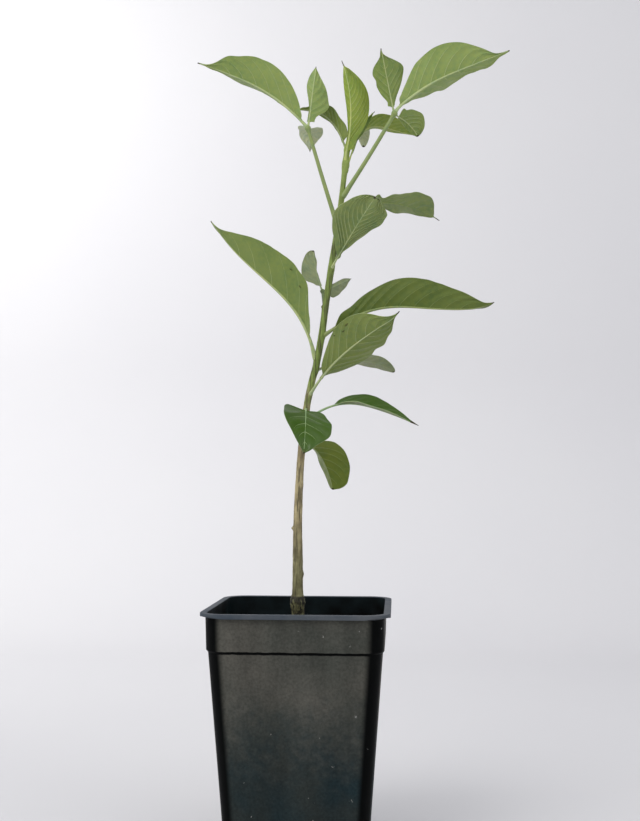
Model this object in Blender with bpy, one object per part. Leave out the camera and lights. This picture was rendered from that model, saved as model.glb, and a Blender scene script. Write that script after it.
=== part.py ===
"""A young baobab tree in a tall square nursery pot: one stem with large folded leaves.

Every size is in millimetres until mesh_object turns it into Blender's metres. +X is to the right
as the front of the pot is seen, +Y is away, +Z is up, and the origin is the middle of the pot's
flat underside. A heading is an angle round +Z from +X, and a rise is an angle above level.
"""

import math
from dataclasses import dataclass

import bmesh
import bpy
from mathutils import Matrix, Vector

MM = 0.001
CLEARANCE = 0.35
SHARP_ABOVE = 45.0

# Pot
POT_HEIGHT = 200.0
POT_RIM_WIDTH = 150.0
POT_FOOT_WIDTH = 111.0
POT_WALL = 1.3
POT_FLOOR = 2.0
LIP_REACH = 4.2
LIP_DEPTH = 3.6
LIP_CORNER_LIFT = 1.4
COLLAR_DEPTH = 29.0
COLLAR_TAPER = 0.8
COLLAR_STEP = 1.2
COLLAR_STEP_HEIGHT = 1.6
RIM_CORNER = 20.0
FOOT_CORNER = 14.0
LEAST_CORNER = 1.0
EDGE_ROUNDING = 0.8
CORNER_SEGMENTS = 5
DRAIN_DIAMETER = 9.0
DRAIN_SPACING = 34.0
DRAIN_SIDES = 10

# Soil: each ring's share of the half width at the wall, and its depth below the crown
SOIL_BELOW_RIM = 26.0
SOIL_EDGE_DIP = 4.0
SOIL_RINGS = ((0.72, 2.4), (0.42, 0.9), (0.18, 0.0))
SOIL_ROUNDNESS = 0.5

# Stem: how far to the right and away it stands at a height, and its diameter there
STEM_FOOT = POT_HEIGHT - SOIL_BELOW_RIM + CLEARANCE
STEM_STATIONS = (
    (STEM_FOOT, -2.5, 0.0, 11.6),
    (186.0, -2.5, 0.0, 10.8),
    (196.0, -2.8, 0.0, 11.4),
    (203.0, -3.0, 0.0, 12.6),
    (209.0, -3.1, 0.0, 9.6),
    (226.0, -3.0, 0.0, 8.7),
    (263.0, -3.0, -1.0, 7.6),
    (291.0, -2.2, -1.5, 6.8),
    (328.0, 0.0, -1.0, 6.1),
    (365.0, 4.3, 0.0, 5.9),
    (387.0, 8.6, 0.5, 6.0),
    (402.0, 12.5, 1.0, 6.0),
    (429.0, 17.3, 1.5, 5.9),
    (453.0, 20.5, 1.5, 5.7),
    (487.0, 25.6, 1.0, 5.8),
    (509.0, 29.2, 0.5, 5.4),
    (529.0, 32.2, 0.0, 5.0),
    (557.0, 35.6, 0.0, 4.6),
    (588.0, 39.1, 1.0, 4.0),
    (598.0, 40.0, 1.5, 2.8),
)
STEM_SIDES = 12
STEM_RING_SPACING = 13.0
EVERY_STATION_BELOW = 230.0
BUD_RINGS = ((0.8, 1.6), (0.35, 3.4))

# Long leaf stalks: rings along them as shares of their length, their taper from foot to end, and
# the rings of the knuckle that ends them, as a lift along the stalk and a radius in knuckle radii
STALK_SHARES = (0.05, 0.2, 0.4, 0.6, 0.8, 0.94)
STALK_TAPER = (1.15, 0.92)
STALK_FOOT_FLARE = 1.25
STALK_SIDES = 8
KNUCKLE_RINGS = ((-0.75, 0.66), (-0.3, 0.95), (0.3, 0.95), (0.8, 0.6))

# Leaf rings, along the bare stalk and along the blade, as shares of the length of each
BARE_RINGS = (0.35, 0.9)
BLADE_RINGS = (0.04, 0.12, 0.24, 0.37, 0.5, 0.63, 0.76, 0.88, 0.96)

# Leaf rib: its radius at the heel grows with the leaf, and it thins towards the tip
RIB_LEAST_RADIUS = 0.45
RIB_RADIUS_SHARE = 0.009
RIB_TIP_SHARE = 0.35
RIB_ABOVE_BLADE = 0.6
RIB_BELOW_BLADE = 0.3
HEEL_LENGTH = 1.7
TIP_BEND_FROM = 0.86

# Leaf blade: thickness as a share of the leaf's length, and how it meets the bare stalk, where
# the blade's edge and middle are as thick as these shares of the rib's radius
BLADE_THICKNESS_SHARE = 0.0115
BLADE_LEAST_THICKNESS = 0.9
EDGE_THICKNESS_SHARE = 0.92
BARE_EDGE_SHARE = 0.45
BARE_MIDDLE_SHARE = 0.9
FULL_BLADE_WIDTH_SHARE = 0.2
FULL_FOLD_WIDTH_SHARE = 0.33
FOLD_OPENING = 0.35
BLADE_SAG = 0.035
WAVE_SIDE_OFFSET = 1.9
TIP_HALF_WIDTH = 0.5


def compass(heading, rise=0.0):
    """Unit vector towards a heading and rise, both in degrees."""
    turn, climb = math.radians(heading), math.radians(rise)
    return Vector((math.cos(turn) * math.cos(climb), math.sin(turn) * math.cos(climb), math.sin(climb)))


def blend(start, end, share):
    return start + (end - start) * share


def eased(low, high, value):
    """0 below low, 1 above high, and a smooth step between."""
    share = min(max((value - low) / (high - low), 0.0), 1.0)
    return share * share * (3 - 2 * share)


# Materials
def material(name, colour, roughness, metallic=0.0):
    made = bpy.data.materials.new(name)
    made.use_nodes = True
    shader = made.node_tree.nodes["Principled BSDF"]
    shader.inputs["Base Color"].default_value = (*colour, 1.0)
    shader.inputs["Roughness"].default_value = roughness
    shader.inputs["Metallic"].default_value = metallic
    made.diffuse_color = (*colour, 1.0)
    return made


# Meshes
def loft(rings):
    """Closed bmesh through rings of points that match one to one, with a flat cap at each end."""
    bm = bmesh.new()
    base = [bm.verts.new(point) for point in rings[0]]
    face = bm.faces.new(base)
    for ring in rings[1:]:
        face = bmesh.ops.extrude_discrete_faces(bm, faces=[face])["faces"][0]
        for vertex, point in zip(face.verts, ring):
            vertex.co = point
    bmesh.ops.contextual_create(bm, geom=[edge for edge in bm.edges if edge.is_boundary])
    bmesh.ops.recalc_face_normals(bm, faces=bm.faces)
    return bm


def mesh_object(name, bm, made_of, parent):
    """Object from a bmesh in millimetres, scaled to metres and shaded smooth but for its sharp edges."""
    bmesh.ops.transform(bm, matrix=Matrix.Scale(MM, 4), verts=bm.verts)
    mesh = bpy.data.meshes.new(name)
    bm.to_mesh(mesh)
    bm.free()
    mesh.materials.append(made_of)
    mesh.shade_smooth()
    mesh.set_sharp_from_angle(angle=math.radians(SHARP_ABOVE))
    made = bpy.data.objects.new(name, mesh)
    bpy.context.scene.collection.objects.link(made)
    made.parent = parent
    return made


def direction_of(path, share, half_step=0.01):
    """Unit vector along a path at a share of its length, which runs from 0 to 1."""
    low, high = max(0.0, share - half_step), min(1.0, share + half_step)
    return (path(high) - path(low)).normalized()


def circle_points(centre, across, upward, radius, sides):
    angles = [2 * math.pi * side / sides for side in range(sides)]
    return [centre + across * (radius * math.cos(a)) + upward * (radius * math.sin(a)) for a in angles]


# Pot and soil
def square_points(half_width, corner, height, corner_lift=0.0):
    """Square outline with rounded corners, level at a height but for any lift of its corners."""
    middle = half_width - corner
    points = []
    for quarter in range(4):
        turn = quarter * math.pi / 2
        centre = Matrix.Rotation(turn, 3, "Z") @ Vector((middle, middle, height))
        for step in range(CORNER_SEGMENTS + 1):
            share = step / CORNER_SEGMENTS
            out = compass(math.degrees(turn) + 90 * share)
            lift = corner_lift * math.sin(math.pi * share)
            points.append(centre + out * corner + Vector((0, 0, lift)))
    return points


def pot_half_width(height):
    """Half width of the pot's outer wall at a height, below the lip."""
    collar_top = POT_RIM_WIDTH / 2 - LIP_REACH
    collar_low = collar_top - COLLAR_TAPER
    collar_foot = POT_HEIGHT - COLLAR_DEPTH
    if height >= collar_foot:
        return blend(collar_low, collar_top, (height - collar_foot) / COLLAR_DEPTH)
    return blend(POT_FOOT_WIDTH / 2, collar_low - COLLAR_STEP, height / collar_foot)


def pot_ring(height, inset=0.0):
    """Outline of the pot's outer wall at a height, or of a line that far inside it."""
    corner = blend(FOOT_CORNER, RIM_CORNER - LIP_REACH, height / POT_HEIGHT) - inset
    return square_points(pot_half_width(height) - inset, max(corner, LEAST_CORNER), height)


def build_pot(parent, plastic):
    collar_foot = POT_HEIGHT - COLLAR_DEPTH
    step_foot = collar_foot - COLLAR_STEP_HEIGHT
    lip_foot = POT_HEIGHT - LIP_DEPTH
    half = POT_RIM_WIDTH / 2
    foot_half = POT_FOOT_WIDTH / 2
    rings = [
        square_points(foot_half - EDGE_ROUNDING, FOOT_CORNER - EDGE_ROUNDING, 0.0),
        pot_ring(EDGE_ROUNDING),
        pot_ring(step_foot),
        pot_ring(collar_foot),
        pot_ring(lip_foot),
        square_points(half, RIM_CORNER, lip_foot, LIP_CORNER_LIFT),
        square_points(half, RIM_CORNER, POT_HEIGHT - EDGE_ROUNDING),
        square_points(half - EDGE_ROUNDING, RIM_CORNER - EDGE_ROUNDING, POT_HEIGHT),
        pot_ring(POT_HEIGHT, POT_WALL),
        pot_ring(collar_foot + POT_WALL, POT_WALL),
        pot_ring(step_foot, POT_WALL),
        pot_ring(POT_FLOOR, POT_WALL),
    ]
    pot = mesh_object("pot", loft(rings), plastic, parent)
    cut_drains(pot)


def cut_drains(pot):
    """Cuts a square of round drain holes through the floor, with none at its middle."""
    bm = bmesh.new()
    radius = DRAIN_DIAMETER / 2 * MM
    for column in (-1, 0, 1):
        for row in (-1, 0, 1):
            if column == 0 and row == 0:
                continue
            bmesh.ops.create_cone(
                bm,
                cap_ends=True,
                segments=DRAIN_SIDES,
                radius1=radius,
                radius2=radius,
                depth=4 * POT_FLOOR * MM,
                matrix=Matrix.Translation((column * DRAIN_SPACING * MM, row * DRAIN_SPACING * MM, 0)),
            )
    mesh = bpy.data.meshes.new("drain_cutters")
    bm.to_mesh(mesh)
    bm.free()
    cutters = bpy.data.objects.new("drain_cutters", mesh)
    bpy.context.scene.collection.objects.link(cutters)
    cutters.hide_render = True
    cutters.display_type = "WIRE"
    cut = pot.modifiers.new("drains", "BOOLEAN")
    cut.operation = "DIFFERENCE"
    cut.object = cutters


def build_soil(parent, earth):
    """Soil that fills the pot, dipping a little from its crown at the stem to the walls."""
    surface = POT_HEIGHT - SOIL_BELOW_RIM
    inset = POT_WALL + CLEARANCE
    edge = surface - SOIL_EDGE_DIP
    rings = [pot_ring(POT_FLOOR + CLEARANCE, inset), pot_ring(edge, inset)]
    for share, depth in SOIL_RINGS:
        half = pot_half_width(edge) * share
        rings.append(square_points(half, half * SOIL_ROUNDNESS, surface - depth))
    mesh_object("soil", loft(rings), earth, parent)


# Stem
def stem_at(height):
    """Centre and radius of the stem at a height, eased between the stations."""
    rows = STEM_STATIONS
    row = max(0, min(len(rows) - 2, sum(station[0] <= height for station in rows) - 1))
    low, high = rows[row], rows[row + 1]
    share = (height - low[0]) / (high[0] - low[0])
    values = []
    for column in (1, 2, 3):
        before = rows[max(row - 1, 0)]
        after = rows[min(row + 2, len(rows) - 1)]
        span = high[0] - low[0]
        slope_in = (high[column] - before[column]) / (high[0] - before[0]) * span
        slope_out = (after[column] - low[column]) / (after[0] - low[0]) * span
        a, b = low[column], high[column]
        value = a * (1 + 2 * share) * (1 - share) ** 2 + b * share**2 * (3 - 2 * share)
        values.append(value + slope_in * share * (1 - share) ** 2 - slope_out * share**2 * (1 - share))
    return Vector((values[0], values[1], height)), values[2] / 2


def build_stem(parent, bark):
    top = STEM_STATIONS[-1][0]
    heights = [station[0] for station in STEM_STATIONS if station[0] < EVERY_STATION_BELOW]
    count = round((top - heights[-1]) / STEM_RING_SPACING)
    heights += [blend(heights[-1], top, (step + 1) / count) for step in range(count)]
    across, away = Vector((1, 0, 0)), Vector((0, 1, 0))
    rings = []
    for height in heights:
        centre, radius = stem_at(height)
        rings.append(circle_points(centre, across, away, radius, STEM_SIDES))
    bud, radius = stem_at(top)
    for share, lift in BUD_RINGS:
        rings.append(circle_points(bud + Vector((0, 0, lift)), across, away, radius * share, STEM_SIDES))
    mesh_object("stem", loft(rings), bark, parent)


# Where a leaf or a leaf stalk grows from
@dataclass(frozen=True)
class Seat:
    """A place on a limb: the point just clear of its surface, and the way out of it."""

    point: Vector
    out: Vector


def stem_side(height, heading):
    """Seat on the stem's side at a height, square to the way the stem leans there."""
    centre, radius = stem_at(height)
    axis = (stem_at(height + radius)[0] - stem_at(height - radius)[0]).normalized()
    level = compass(heading)
    out = (level - axis * level.dot(axis)).normalized()
    return Seat(centre + out * (radius + CLEARANCE), out)


@dataclass(frozen=True)
class LeafStalk:
    """A long stalk that carries several leaves round the knuckle at its end."""

    name: str
    seat: Seat
    end: tuple
    bow: tuple
    radius: float
    knuckle: float

    def path(self, share):
        start = self.seat.point + self.seat.out * self.radius * HEEL_LENGTH
        return blend(start, Vector(self.end), share) + Vector(self.bow) * (4 * share * (1 - share))

    def knuckle_side(self, heading, rise):
        out = compass(heading, rise)
        return Seat(Vector(self.end) + out * (self.knuckle + CLEARANCE), out)

    def build(self, parent, green):
        rings = [self.ring(self.seat.point, self.seat.out, self.radius * STALK_FOOT_FLARE)]
        for share in STALK_SHARES:
            along = direction_of(self.path, share)
            rings.append(self.ring(self.path(share), along, self.radius * blend(*STALK_TAPER, share)))
        along = direction_of(self.path, 1.0)
        for lift, size in KNUCKLE_RINGS:
            centre = Vector(self.end) + along * self.knuckle * lift
            rings.append(self.ring(centre, along, self.knuckle * size))
        mesh_object(self.name, loft(rings), green, parent)

    def ring(self, centre, along, radius):
        across = along.cross(Vector((0, 1, 0))).normalized()
        return circle_points(centre, across, along.cross(across), radius, STALK_SIDES)


# Leaves
@dataclass(frozen=True)
class Leaf:
    """A folded leaf: a rib that starts at its seat as a bare stalk, and a blade on each side of it.

    arch moves the middle of the rib off the straight line from seat to tip, sway bends its two
    halves opposite ways and tip_bend turns up the last of it. left and right are the blade's widths
    on each side of the rib, as seen from above with the tip ahead, and widest says how far along
    they come. drip is the share of the leaf that is a bare, thin tip. The upper side looks towards
    faces, a heading and a rise, and fold is how far each side is raised from flat, like the covers
    of an open book.
    """

    name: str
    seat: Seat
    tip: tuple
    faces: tuple
    left: float
    right: float
    fold: float
    arch: tuple = (0, 0, 0)
    sway: tuple = (0, 0, 0)
    tip_bend: tuple = (0, 0, 0)
    stalk: float = 0.08
    widest: tuple = (0.5, 0.5)
    base_curve: float = 1.0
    tip_curve: float = 1.3
    drip: float = 0.0
    wave: float = 0.6
    waves: float = 2.5

    @property
    def length(self):
        return (Vector(self.tip) - self.seat.point).length

    @property
    def rib_radius(self):
        return RIB_LEAST_RADIUS + RIB_RADIUS_SHARE * self.length

    @property
    def thickness(self):
        return max(BLADE_LEAST_THICKNESS, BLADE_THICKNESS_SHARE * self.length)

    def rib(self, share):
        start = self.seat.point + self.seat.out * self.rib_radius * HEEL_LENGTH
        point = blend(start, Vector(self.tip), share)
        point += Vector(self.arch) * (4 * share * (1 - share))
        point += Vector(self.sway) * math.sin(2 * math.pi * share)
        bend = max(0.0, (share - TIP_BEND_FROM) / (1 - TIP_BEND_FROM))
        return point + Vector(self.tip_bend) * bend**2

    def frame(self, share):
        """Unit vectors along the rib, towards the upper side and towards the right."""
        along = direction_of(self.rib, share)
        up = compass(*self.faces)
        up = (up - along * up.dot(along)).normalized()
        return along, up, along.cross(up)

    def width_share(self, share, side):
        """Width at a share of the rib, as a share of the widest: 0 along the bare stalk."""
        if share <= self.stalk:
            return 0.0
        along_blade = min(1.0, (share - self.stalk) / (1 - self.drip - self.stalk))
        bell = math.sin(math.pi * along_blade ** (math.log(0.5) / math.log(self.widest[side])))
        return max(0.0, bell) ** blend(self.base_curve, self.tip_curve, along_blade)

    def half_blade(self, share, side, rib, blade):
        """Under and upper points of one half, from its edge to its middle."""
        up, right = self.frame(share)[1:]
        sign = (-1, 1)[side]
        wide = self.width_share(share, side)
        half = max((self.left, self.right)[side] * wide, rib, TIP_HALF_WIDTH)
        folded = min(1.0, wide / FULL_FOLD_WIDTH_SHARE)
        rise = math.radians(self.fold * (1 - FOLD_OPENING * share)) * folded
        out = right * (sign * math.cos(rise)) + up * math.sin(rise)
        normal = up * math.cos(rise) - right * (sign * math.sin(rise))
        ripple = self.wave * wide * math.sin(2 * math.pi * self.waves * share + WAVE_SIDE_OFFSET * side)
        edge = self.rib(share) + out * half + normal * ripple
        middle = self.rib(share) + out * half / 2 - normal * half * BLADE_SAG
        edge_half = blend(BARE_EDGE_SHARE * rib, self.thickness * EDGE_THICKNESS_SHARE / 2, blade)
        middle_half = blend(BARE_MIDDLE_SHARE * rib, self.thickness / 2, blade)
        lifts = ((edge, normal * edge_half), (middle, normal * middle_half))
        return [point - lift for point, lift in lifts], [point + lift for point, lift in lifts]

    def ring(self, share):
        """Ten points round the leaf: its under side from left to right, then its upper side back."""
        up = self.frame(share)[1]
        rib = self.rib_radius * blend(1.0, RIB_TIP_SHARE, share)
        widest = max(self.width_share(share, 0), self.width_share(share, 1))
        blade = eased(0.0, FULL_BLADE_WIDTH_SHARE, widest)
        left_under, left_over = self.half_blade(share, 0, rib, blade)
        right_under, right_over = self.half_blade(share, 1, rib, blade)
        keel = self.rib(share) - up * (rib + RIB_BELOW_BLADE * self.thickness * blade)
        ridge = self.rib(share) + up * blend(rib, RIB_ABOVE_BLADE * self.thickness, blade)
        under = left_under + [keel] + right_under[::-1]
        return under + right_over + [ridge] + left_over[::-1]

    def foot_ring(self):
        """The first ring, turned to lie flat against the limb that the leaf grows from."""
        along = self.frame(0.0)[0]
        turn = along.rotation_difference(self.seat.out)
        start = self.rib(0.0)
        return [self.seat.point + turn @ (point - start) for point in self.ring(0.0)]

    def build(self, parent, green):
        shares = [self.stalk * along_stalk for along_stalk in BARE_RINGS]
        shares += [blend(self.stalk, 1.0, along_blade) for along_blade in BLADE_RINGS]
        rings = [self.foot_ring()] + [self.ring(share) for share in shares + [1.0]]
        mesh_object(self.name, loft(rings), green, parent)


def leaf_stalks():
    return {
        "left": LeafStalk("left_leaf_stalk", stem_side(532, 185), end=(6, -11, 604),
                          bow=(0, 0, -1), radius=1.6, knuckle=2.7),
        "right": LeafStalk("right_leaf_stalk", stem_side(554, 335), end=(80, -16, 613),
                           bow=(0.4, 0, -0.4), radius=1.7, knuckle=2.8),
        "back": LeafStalk("back_leaf_stalk", stem_side(452, 105), end=(16, 26, 470),
                          bow=(0, 2, -1), radius=1.3, knuckle=2.2),
    }


def lower_leaves():
    """Leaves on the lower half of the stem, from the soil up."""
    return [
        Leaf("lowest_back_leaf", stem_side(335, 60), tip=(24, 42, 296), faces=(58, 20), left=11,
             right=22.2, fold=38, arch=(2, 1, 7.5), stalk=0.13, widest=(0.48, 0.56), base_curve=0.5,
             tip_curve=0.7),
        Leaf("heart_leaf", stem_side(363, 270), tip=(6, -46, 324.5), faces=(292, 42), left=21.8,
             right=18, fold=12, arch=(1, -6, 4), stalk=0.05, widest=(0.5, 0.35), base_curve=0.4,
             tip_curve=1.2),
        Leaf("low_right_leaf", stem_side(358.5, 345), tip=(98, -28, 348), faces=(285, 70), left=15,
             right=11, fold=24, arch=(0, -1, 12.7), sway=(0, 0, 2), stalk=0.2, widest=(0.42, 0.5),
             tip_curve=1.4),
        Leaf("middle_front_leaf", stem_side(380, 300), tip=(84.5, -66, 433), faces=(110, 30), left=23.2,
             right=22.2, fold=20, arch=(-2, -2, 6), sway=(-1, 0, 0), tip_bend=(-1.5, 0, 2.5),
             stalk=0.12, widest=(0.41, 0.53), base_curve=1.15, tip_curve=1.5),
        Leaf("middle_back_leaf", stem_side(400, 40), tip=(78.5, 58, 401.5), faces=(80, 50), left=8.5,
             right=9.5, fold=10, arch=(2, 2, 8.9), stalk=0.15, tip_curve=0.5),
        Leaf("long_left_leaf", stem_side(416, 200), tip=(-82.5, 20, 533), faces=(20, 30), left=29.8,
             right=22, fold=50, arch=(4.2, 2, 2.4), sway=(5.3, 0, 0), stalk=0.06, widest=(0.48, 0.55),
             base_curve=1.15, tip_curve=1.65),
        Leaf("long_right_leaf", stem_side(430.5, 340), tip=(158.5, -36, 442.5), faces=(90, 60), left=24,
             right=24.4, fold=55, arch=(0, 0, 11.1), sway=(0, 0, 4.3), tip_bend=(1, 0, 4.5), stalk=0.03,
             widest=(0.5, 0.51), base_curve=1.2, tip_curve=0.95),
    ]


def upper_leaves(stalks):
    """Leaves on the upper half of the stem, and those round the knuckle of the back stalk."""
    back = stalks["back"]
    return [
        Leaf("back_round_leaf", back.knuckle_side(150, 62), tip=(6.3, 46, 511), faces=(110, 10), left=2,
             right=13, fold=15, arch=(-1.2, 2, 0), stalk=0.05, widest=(0.7, 0.42), base_curve=0.8,
             tip_curve=0.4),
        Leaf("back_small_leaf", back.knuckle_side(20, 15), tip=(40, 52, 486), faces=(90, 20), left=8.7,
             right=4, fold=15, arch=(2, 0, 1), stalk=0.04, widest=(0.3, 0.5), base_curve=0.5),
        Leaf("upper_front_leaf", stem_side(487, 290), tip=(64, -48, 532.5), faces=(110, 40), left=20.5,
             right=22.6, fold=12, arch=(-1, -2, -1), stalk=0.1, widest=(0.7, 0.6), base_curve=1.2,
             tip_curve=0.5),
        Leaf("upper_back_leaf", stem_side(539, 35), tip=(118, 70, 545), faces=(60, 30), left=10.3,
             right=16.6, fold=10, arch=(0, 2, 9), stalk=0.12, widest=(0.6, 0.74), base_curve=1.2,
             tip_curve=0.45, drip=0.05, wave=1.6, waves=3.0),
    ]


def crown_leaves(stalks):
    """Leaves round the knuckles of the two long stalks."""
    left, right = stalks["left"], stalks["right"]
    return [
        Leaf("left_long_leaf", left.knuckle_side(190, 50), tip=(-86, -30, 656), faces=(60, 60), left=24,
             right=16, fold=40, arch=(-1, -2, 8.4), sway=(0, 0, 1.3), stalk=0.02, widest=(0.43, 0.5),
             base_curve=1.05, tip_curve=1.6, drip=0.03),
        Leaf("left_upright_leaf", left.knuckle_side(40, 78), tip=(12, 4, 664), faces=(90, 20),
             left=14.8, right=6.2, fold=20, stalk=0.02, widest=(0.4, 0.7), base_curve=0.8),
        Leaf("left_hanging_leaf", left.knuckle_side(80, 5), tip=(5.5, 18, 592.5), faces=(90, 30),
             left=9.4, right=11.3, fold=20, arch=(0, 2, 6), stalk=0.03, widest=(0.45, 0.4),
             base_curve=0.35),
        Leaf("right_long_leaf", right.knuckle_side(5, 60), tip=(178, -6, 669), faces=(100, 50), left=16,
             right=25.4, fold=35, arch=(-2, 0, 5), sway=(0, 0, 1.3), stalk=0.02, widest=(0.5, 0.45),
             base_curve=1.0, tip_curve=1.5, drip=0.02),
        Leaf("right_upright_leaf", right.knuckle_side(200, 72), tip=(69, -30, 664), faces=(110, 10),
             left=18, right=11.5, fold=20, stalk=0.02, widest=(0.61, 0.58), base_curve=0.65,
             tip_curve=1.5, drip=0.06),
        Leaf("right_hanging_leaf", right.knuckle_side(45, -25), tip=(100, 6, 600), faces=(112, 20),
             left=4, right=16, fold=10, arch=(1, 1, 2), stalk=0.03, widest=(0.5, 0.58), base_curve=0.7,
             tip_curve=0.5),
    ]


def tip_leaves():
    """The youngest leaves, crowded round the top of the stem."""
    return [
        Leaf("tip_upright_leaf", stem_side(583, 262), tip=(36, -26, 656), faces=(110, 10), left=19.2,
             right=4.2, fold=20, arch=(6, -2, 0), stalk=0.03, widest=(0.55, 0.68), base_curve=0.85,
             tip_curve=1.15, drip=0.02),
        Leaf("tip_left_leaf", stem_side(594, 160), tip=(-6, 24, 633), faces=(80, 50), left=11.4,
             right=3, fold=20, arch=(5, 2, 9.5), stalk=0.03, widest=(0.34, 0.5), base_curve=0.9),
        Leaf("tip_right_leaf", stem_side(594, 40), tip=(98, 52, 617), faces=(70, 50), left=5.5,
             right=13, fold=20, arch=(-2, 0, 12), sway=(0, 0, 3), stalk=0.06),
        Leaf("tip_narrow_leaf", stem_side(582, 345), tip=(63, 3, 622), faces=(350, 30), left=3.5,
             right=3.5, fold=50, arch=(-1, -2, 4), stalk=0.04),
        Leaf("tip_hanging_leaf", stem_side(578, 105), tip=(52, 44, 604.5), faces=(80, 85), left=7,
             right=8.6, fold=15, arch=(3, 8, 23), stalk=0.2, tip_curve=0.8),
    ]


def main():
    for old in list(bpy.data.objects):
        bpy.data.objects.remove(old)

    plastic = material("black_pot_plastic", (0.035, 0.036, 0.034), 0.45)
    earth = material("potting_soil", (0.045, 0.03, 0.02), 0.95)
    bark = material("green_brown_bark", (0.2, 0.19, 0.09), 0.7)
    stalk_green = material("stalk_green", (0.3, 0.38, 0.13), 0.5)
    leaf_green = material("leaf_green", (0.14, 0.24, 0.06), 0.5)
    young_green = material("young_leaf_green", (0.2, 0.3, 0.06), 0.45)

    plant = bpy.data.objects.new("potted_baobab", None)
    bpy.context.scene.collection.objects.link(plant)
    build_pot(plant, plastic)
    build_soil(plant, earth)
    build_stem(plant, bark)
    stalks = leaf_stalks()
    for stalk in stalks.values():
        stalk.build(plant, stalk_green)
    for leaf in lower_leaves() + upper_leaves(stalks) + crown_leaves(stalks):
        leaf.build(plant, leaf_green)
    for leaf in tip_leaves():
        leaf.build(plant, young_green)


main()
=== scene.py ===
"""Looks of a young baobab tree in a tall square nursery pot.

Sizes are in millimetres and angles in degrees until a mesh is finished, when it is scaled to metres.
+X is to the right as the front of the pot is seen, +Y is away and +Z is up. Every piece follows the
same named sizes and rules as the solid that it stands for, carried to a finer mesh.
"""

import itertools
import logging
import math
import random
from collections.abc import Callable, Sequence
from dataclasses import dataclass
from enum import Enum, IntEnum

import bmesh
import bpy
from mathutils import Matrix, Vector, noise


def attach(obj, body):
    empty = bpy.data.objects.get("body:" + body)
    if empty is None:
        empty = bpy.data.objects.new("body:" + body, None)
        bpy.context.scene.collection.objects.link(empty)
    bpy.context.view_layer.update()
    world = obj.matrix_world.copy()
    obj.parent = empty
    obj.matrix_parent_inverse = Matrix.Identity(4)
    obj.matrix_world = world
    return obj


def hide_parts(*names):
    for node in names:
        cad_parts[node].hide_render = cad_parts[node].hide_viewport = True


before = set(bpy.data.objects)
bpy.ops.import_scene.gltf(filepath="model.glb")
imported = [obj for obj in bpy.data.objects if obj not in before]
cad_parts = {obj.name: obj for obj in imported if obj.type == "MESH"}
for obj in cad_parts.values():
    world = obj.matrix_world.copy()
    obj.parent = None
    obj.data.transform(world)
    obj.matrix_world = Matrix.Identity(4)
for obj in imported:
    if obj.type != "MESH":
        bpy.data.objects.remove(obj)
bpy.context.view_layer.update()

log = logging.getLogger("potted_baobab")

MM = 0.001
BODY = "root"
CLEARANCE = 0.35
PATH_STEP = 0.01

Triple = tuple[float, float, float]
Pair = tuple[float, float]
Ring = list[Vector]
Path = Callable[[float], Vector]
Mesh = bmesh.types.BMesh
Material = bpy.types.Material
Tree = bpy.types.NodeTree
Socket = bpy.types.NodeSocket
Sockets = dict[str, Socket]
Value = float | Triple | Socket
Measure = float | Vector
Mask = tuple[float, float, Pair]


def compass(heading: float, rise: float = 0.0) -> Vector:
    """Unit vector towards a heading and a rise above level."""
    turn, climb = math.radians(heading), math.radians(rise)
    return Vector((math.cos(turn) * math.cos(climb), math.sin(turn) * math.cos(climb), math.sin(climb)))


def blend(start: Measure, end: Measure, share: float) -> Measure:
    """Value that far from start to end, for numbers and vectors alike."""
    return start + (end - start) * share


def eased(low: float, high: float, value: float) -> float:
    """0 below low, 1 above high, and a smooth step between."""
    share = min(max((value - low) / (high - low), 0.0), 1.0)
    return share * share * (3 - 2 * share)


def hump(distance: float, reach: float) -> float:
    """Round bump: 1 at no distance, fading to nothing past its reach."""
    return math.exp(-((distance / reach) ** 2))


def direction_of(path: Path, share: float) -> Vector:
    """Unit vector along a path at a share of its length."""
    low, high = max(0.0, share - PATH_STEP), min(1.0, share + PATH_STEP)
    return (path(high) - path(low)).normalized()


@dataclass(frozen=True)
class Seat:
    """A place on a limb: the point just clear of its surface, the way out of it and the way along it.

    The way along is no direction at all on a round knuckle.
    """

    point: Vector
    out: Vector
    axis: Vector = Vector()

    def root(self, path: Path, sink: float) -> Vector:
        """Carries a limb's own line back into what it grows from.

        Args:
            path: gives a point of the limb for a share from 0 to 1.
            sink: how far below the surface the limb ends.

        Returns:
            The limb's end.
        """
        start, along = path(0.0), direction_of(path, 0.02)
        depth = (start - self.point).dot(self.out) + CLEARANCE + sink
        reach = min(depth / max(along.dot(self.out), 0.2), 4 * depth)
        return start - self.out * depth - self.axis * (along.dot(self.axis) * reach)


def heel(root: Vector, path: Path, join: float, share: float) -> tuple[Vector, Vector]:
    """Curves the first stretch of a limb out of its root.

    Args:
        root: where the limb starts, inside what carries it.
        path: gives a point of the limb for a share from 0 to 1.
        join: share where the curve has joined the path.
        share: where to measure, below join.

    Returns:
        The point, and the unit vector along the limb there.
    """
    turned = share / join
    near, far = blend(root, path(0.0), turned), blend(path(0.0), path(join), turned)
    return blend(near, far, turned), (far - near).normalized()


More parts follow.
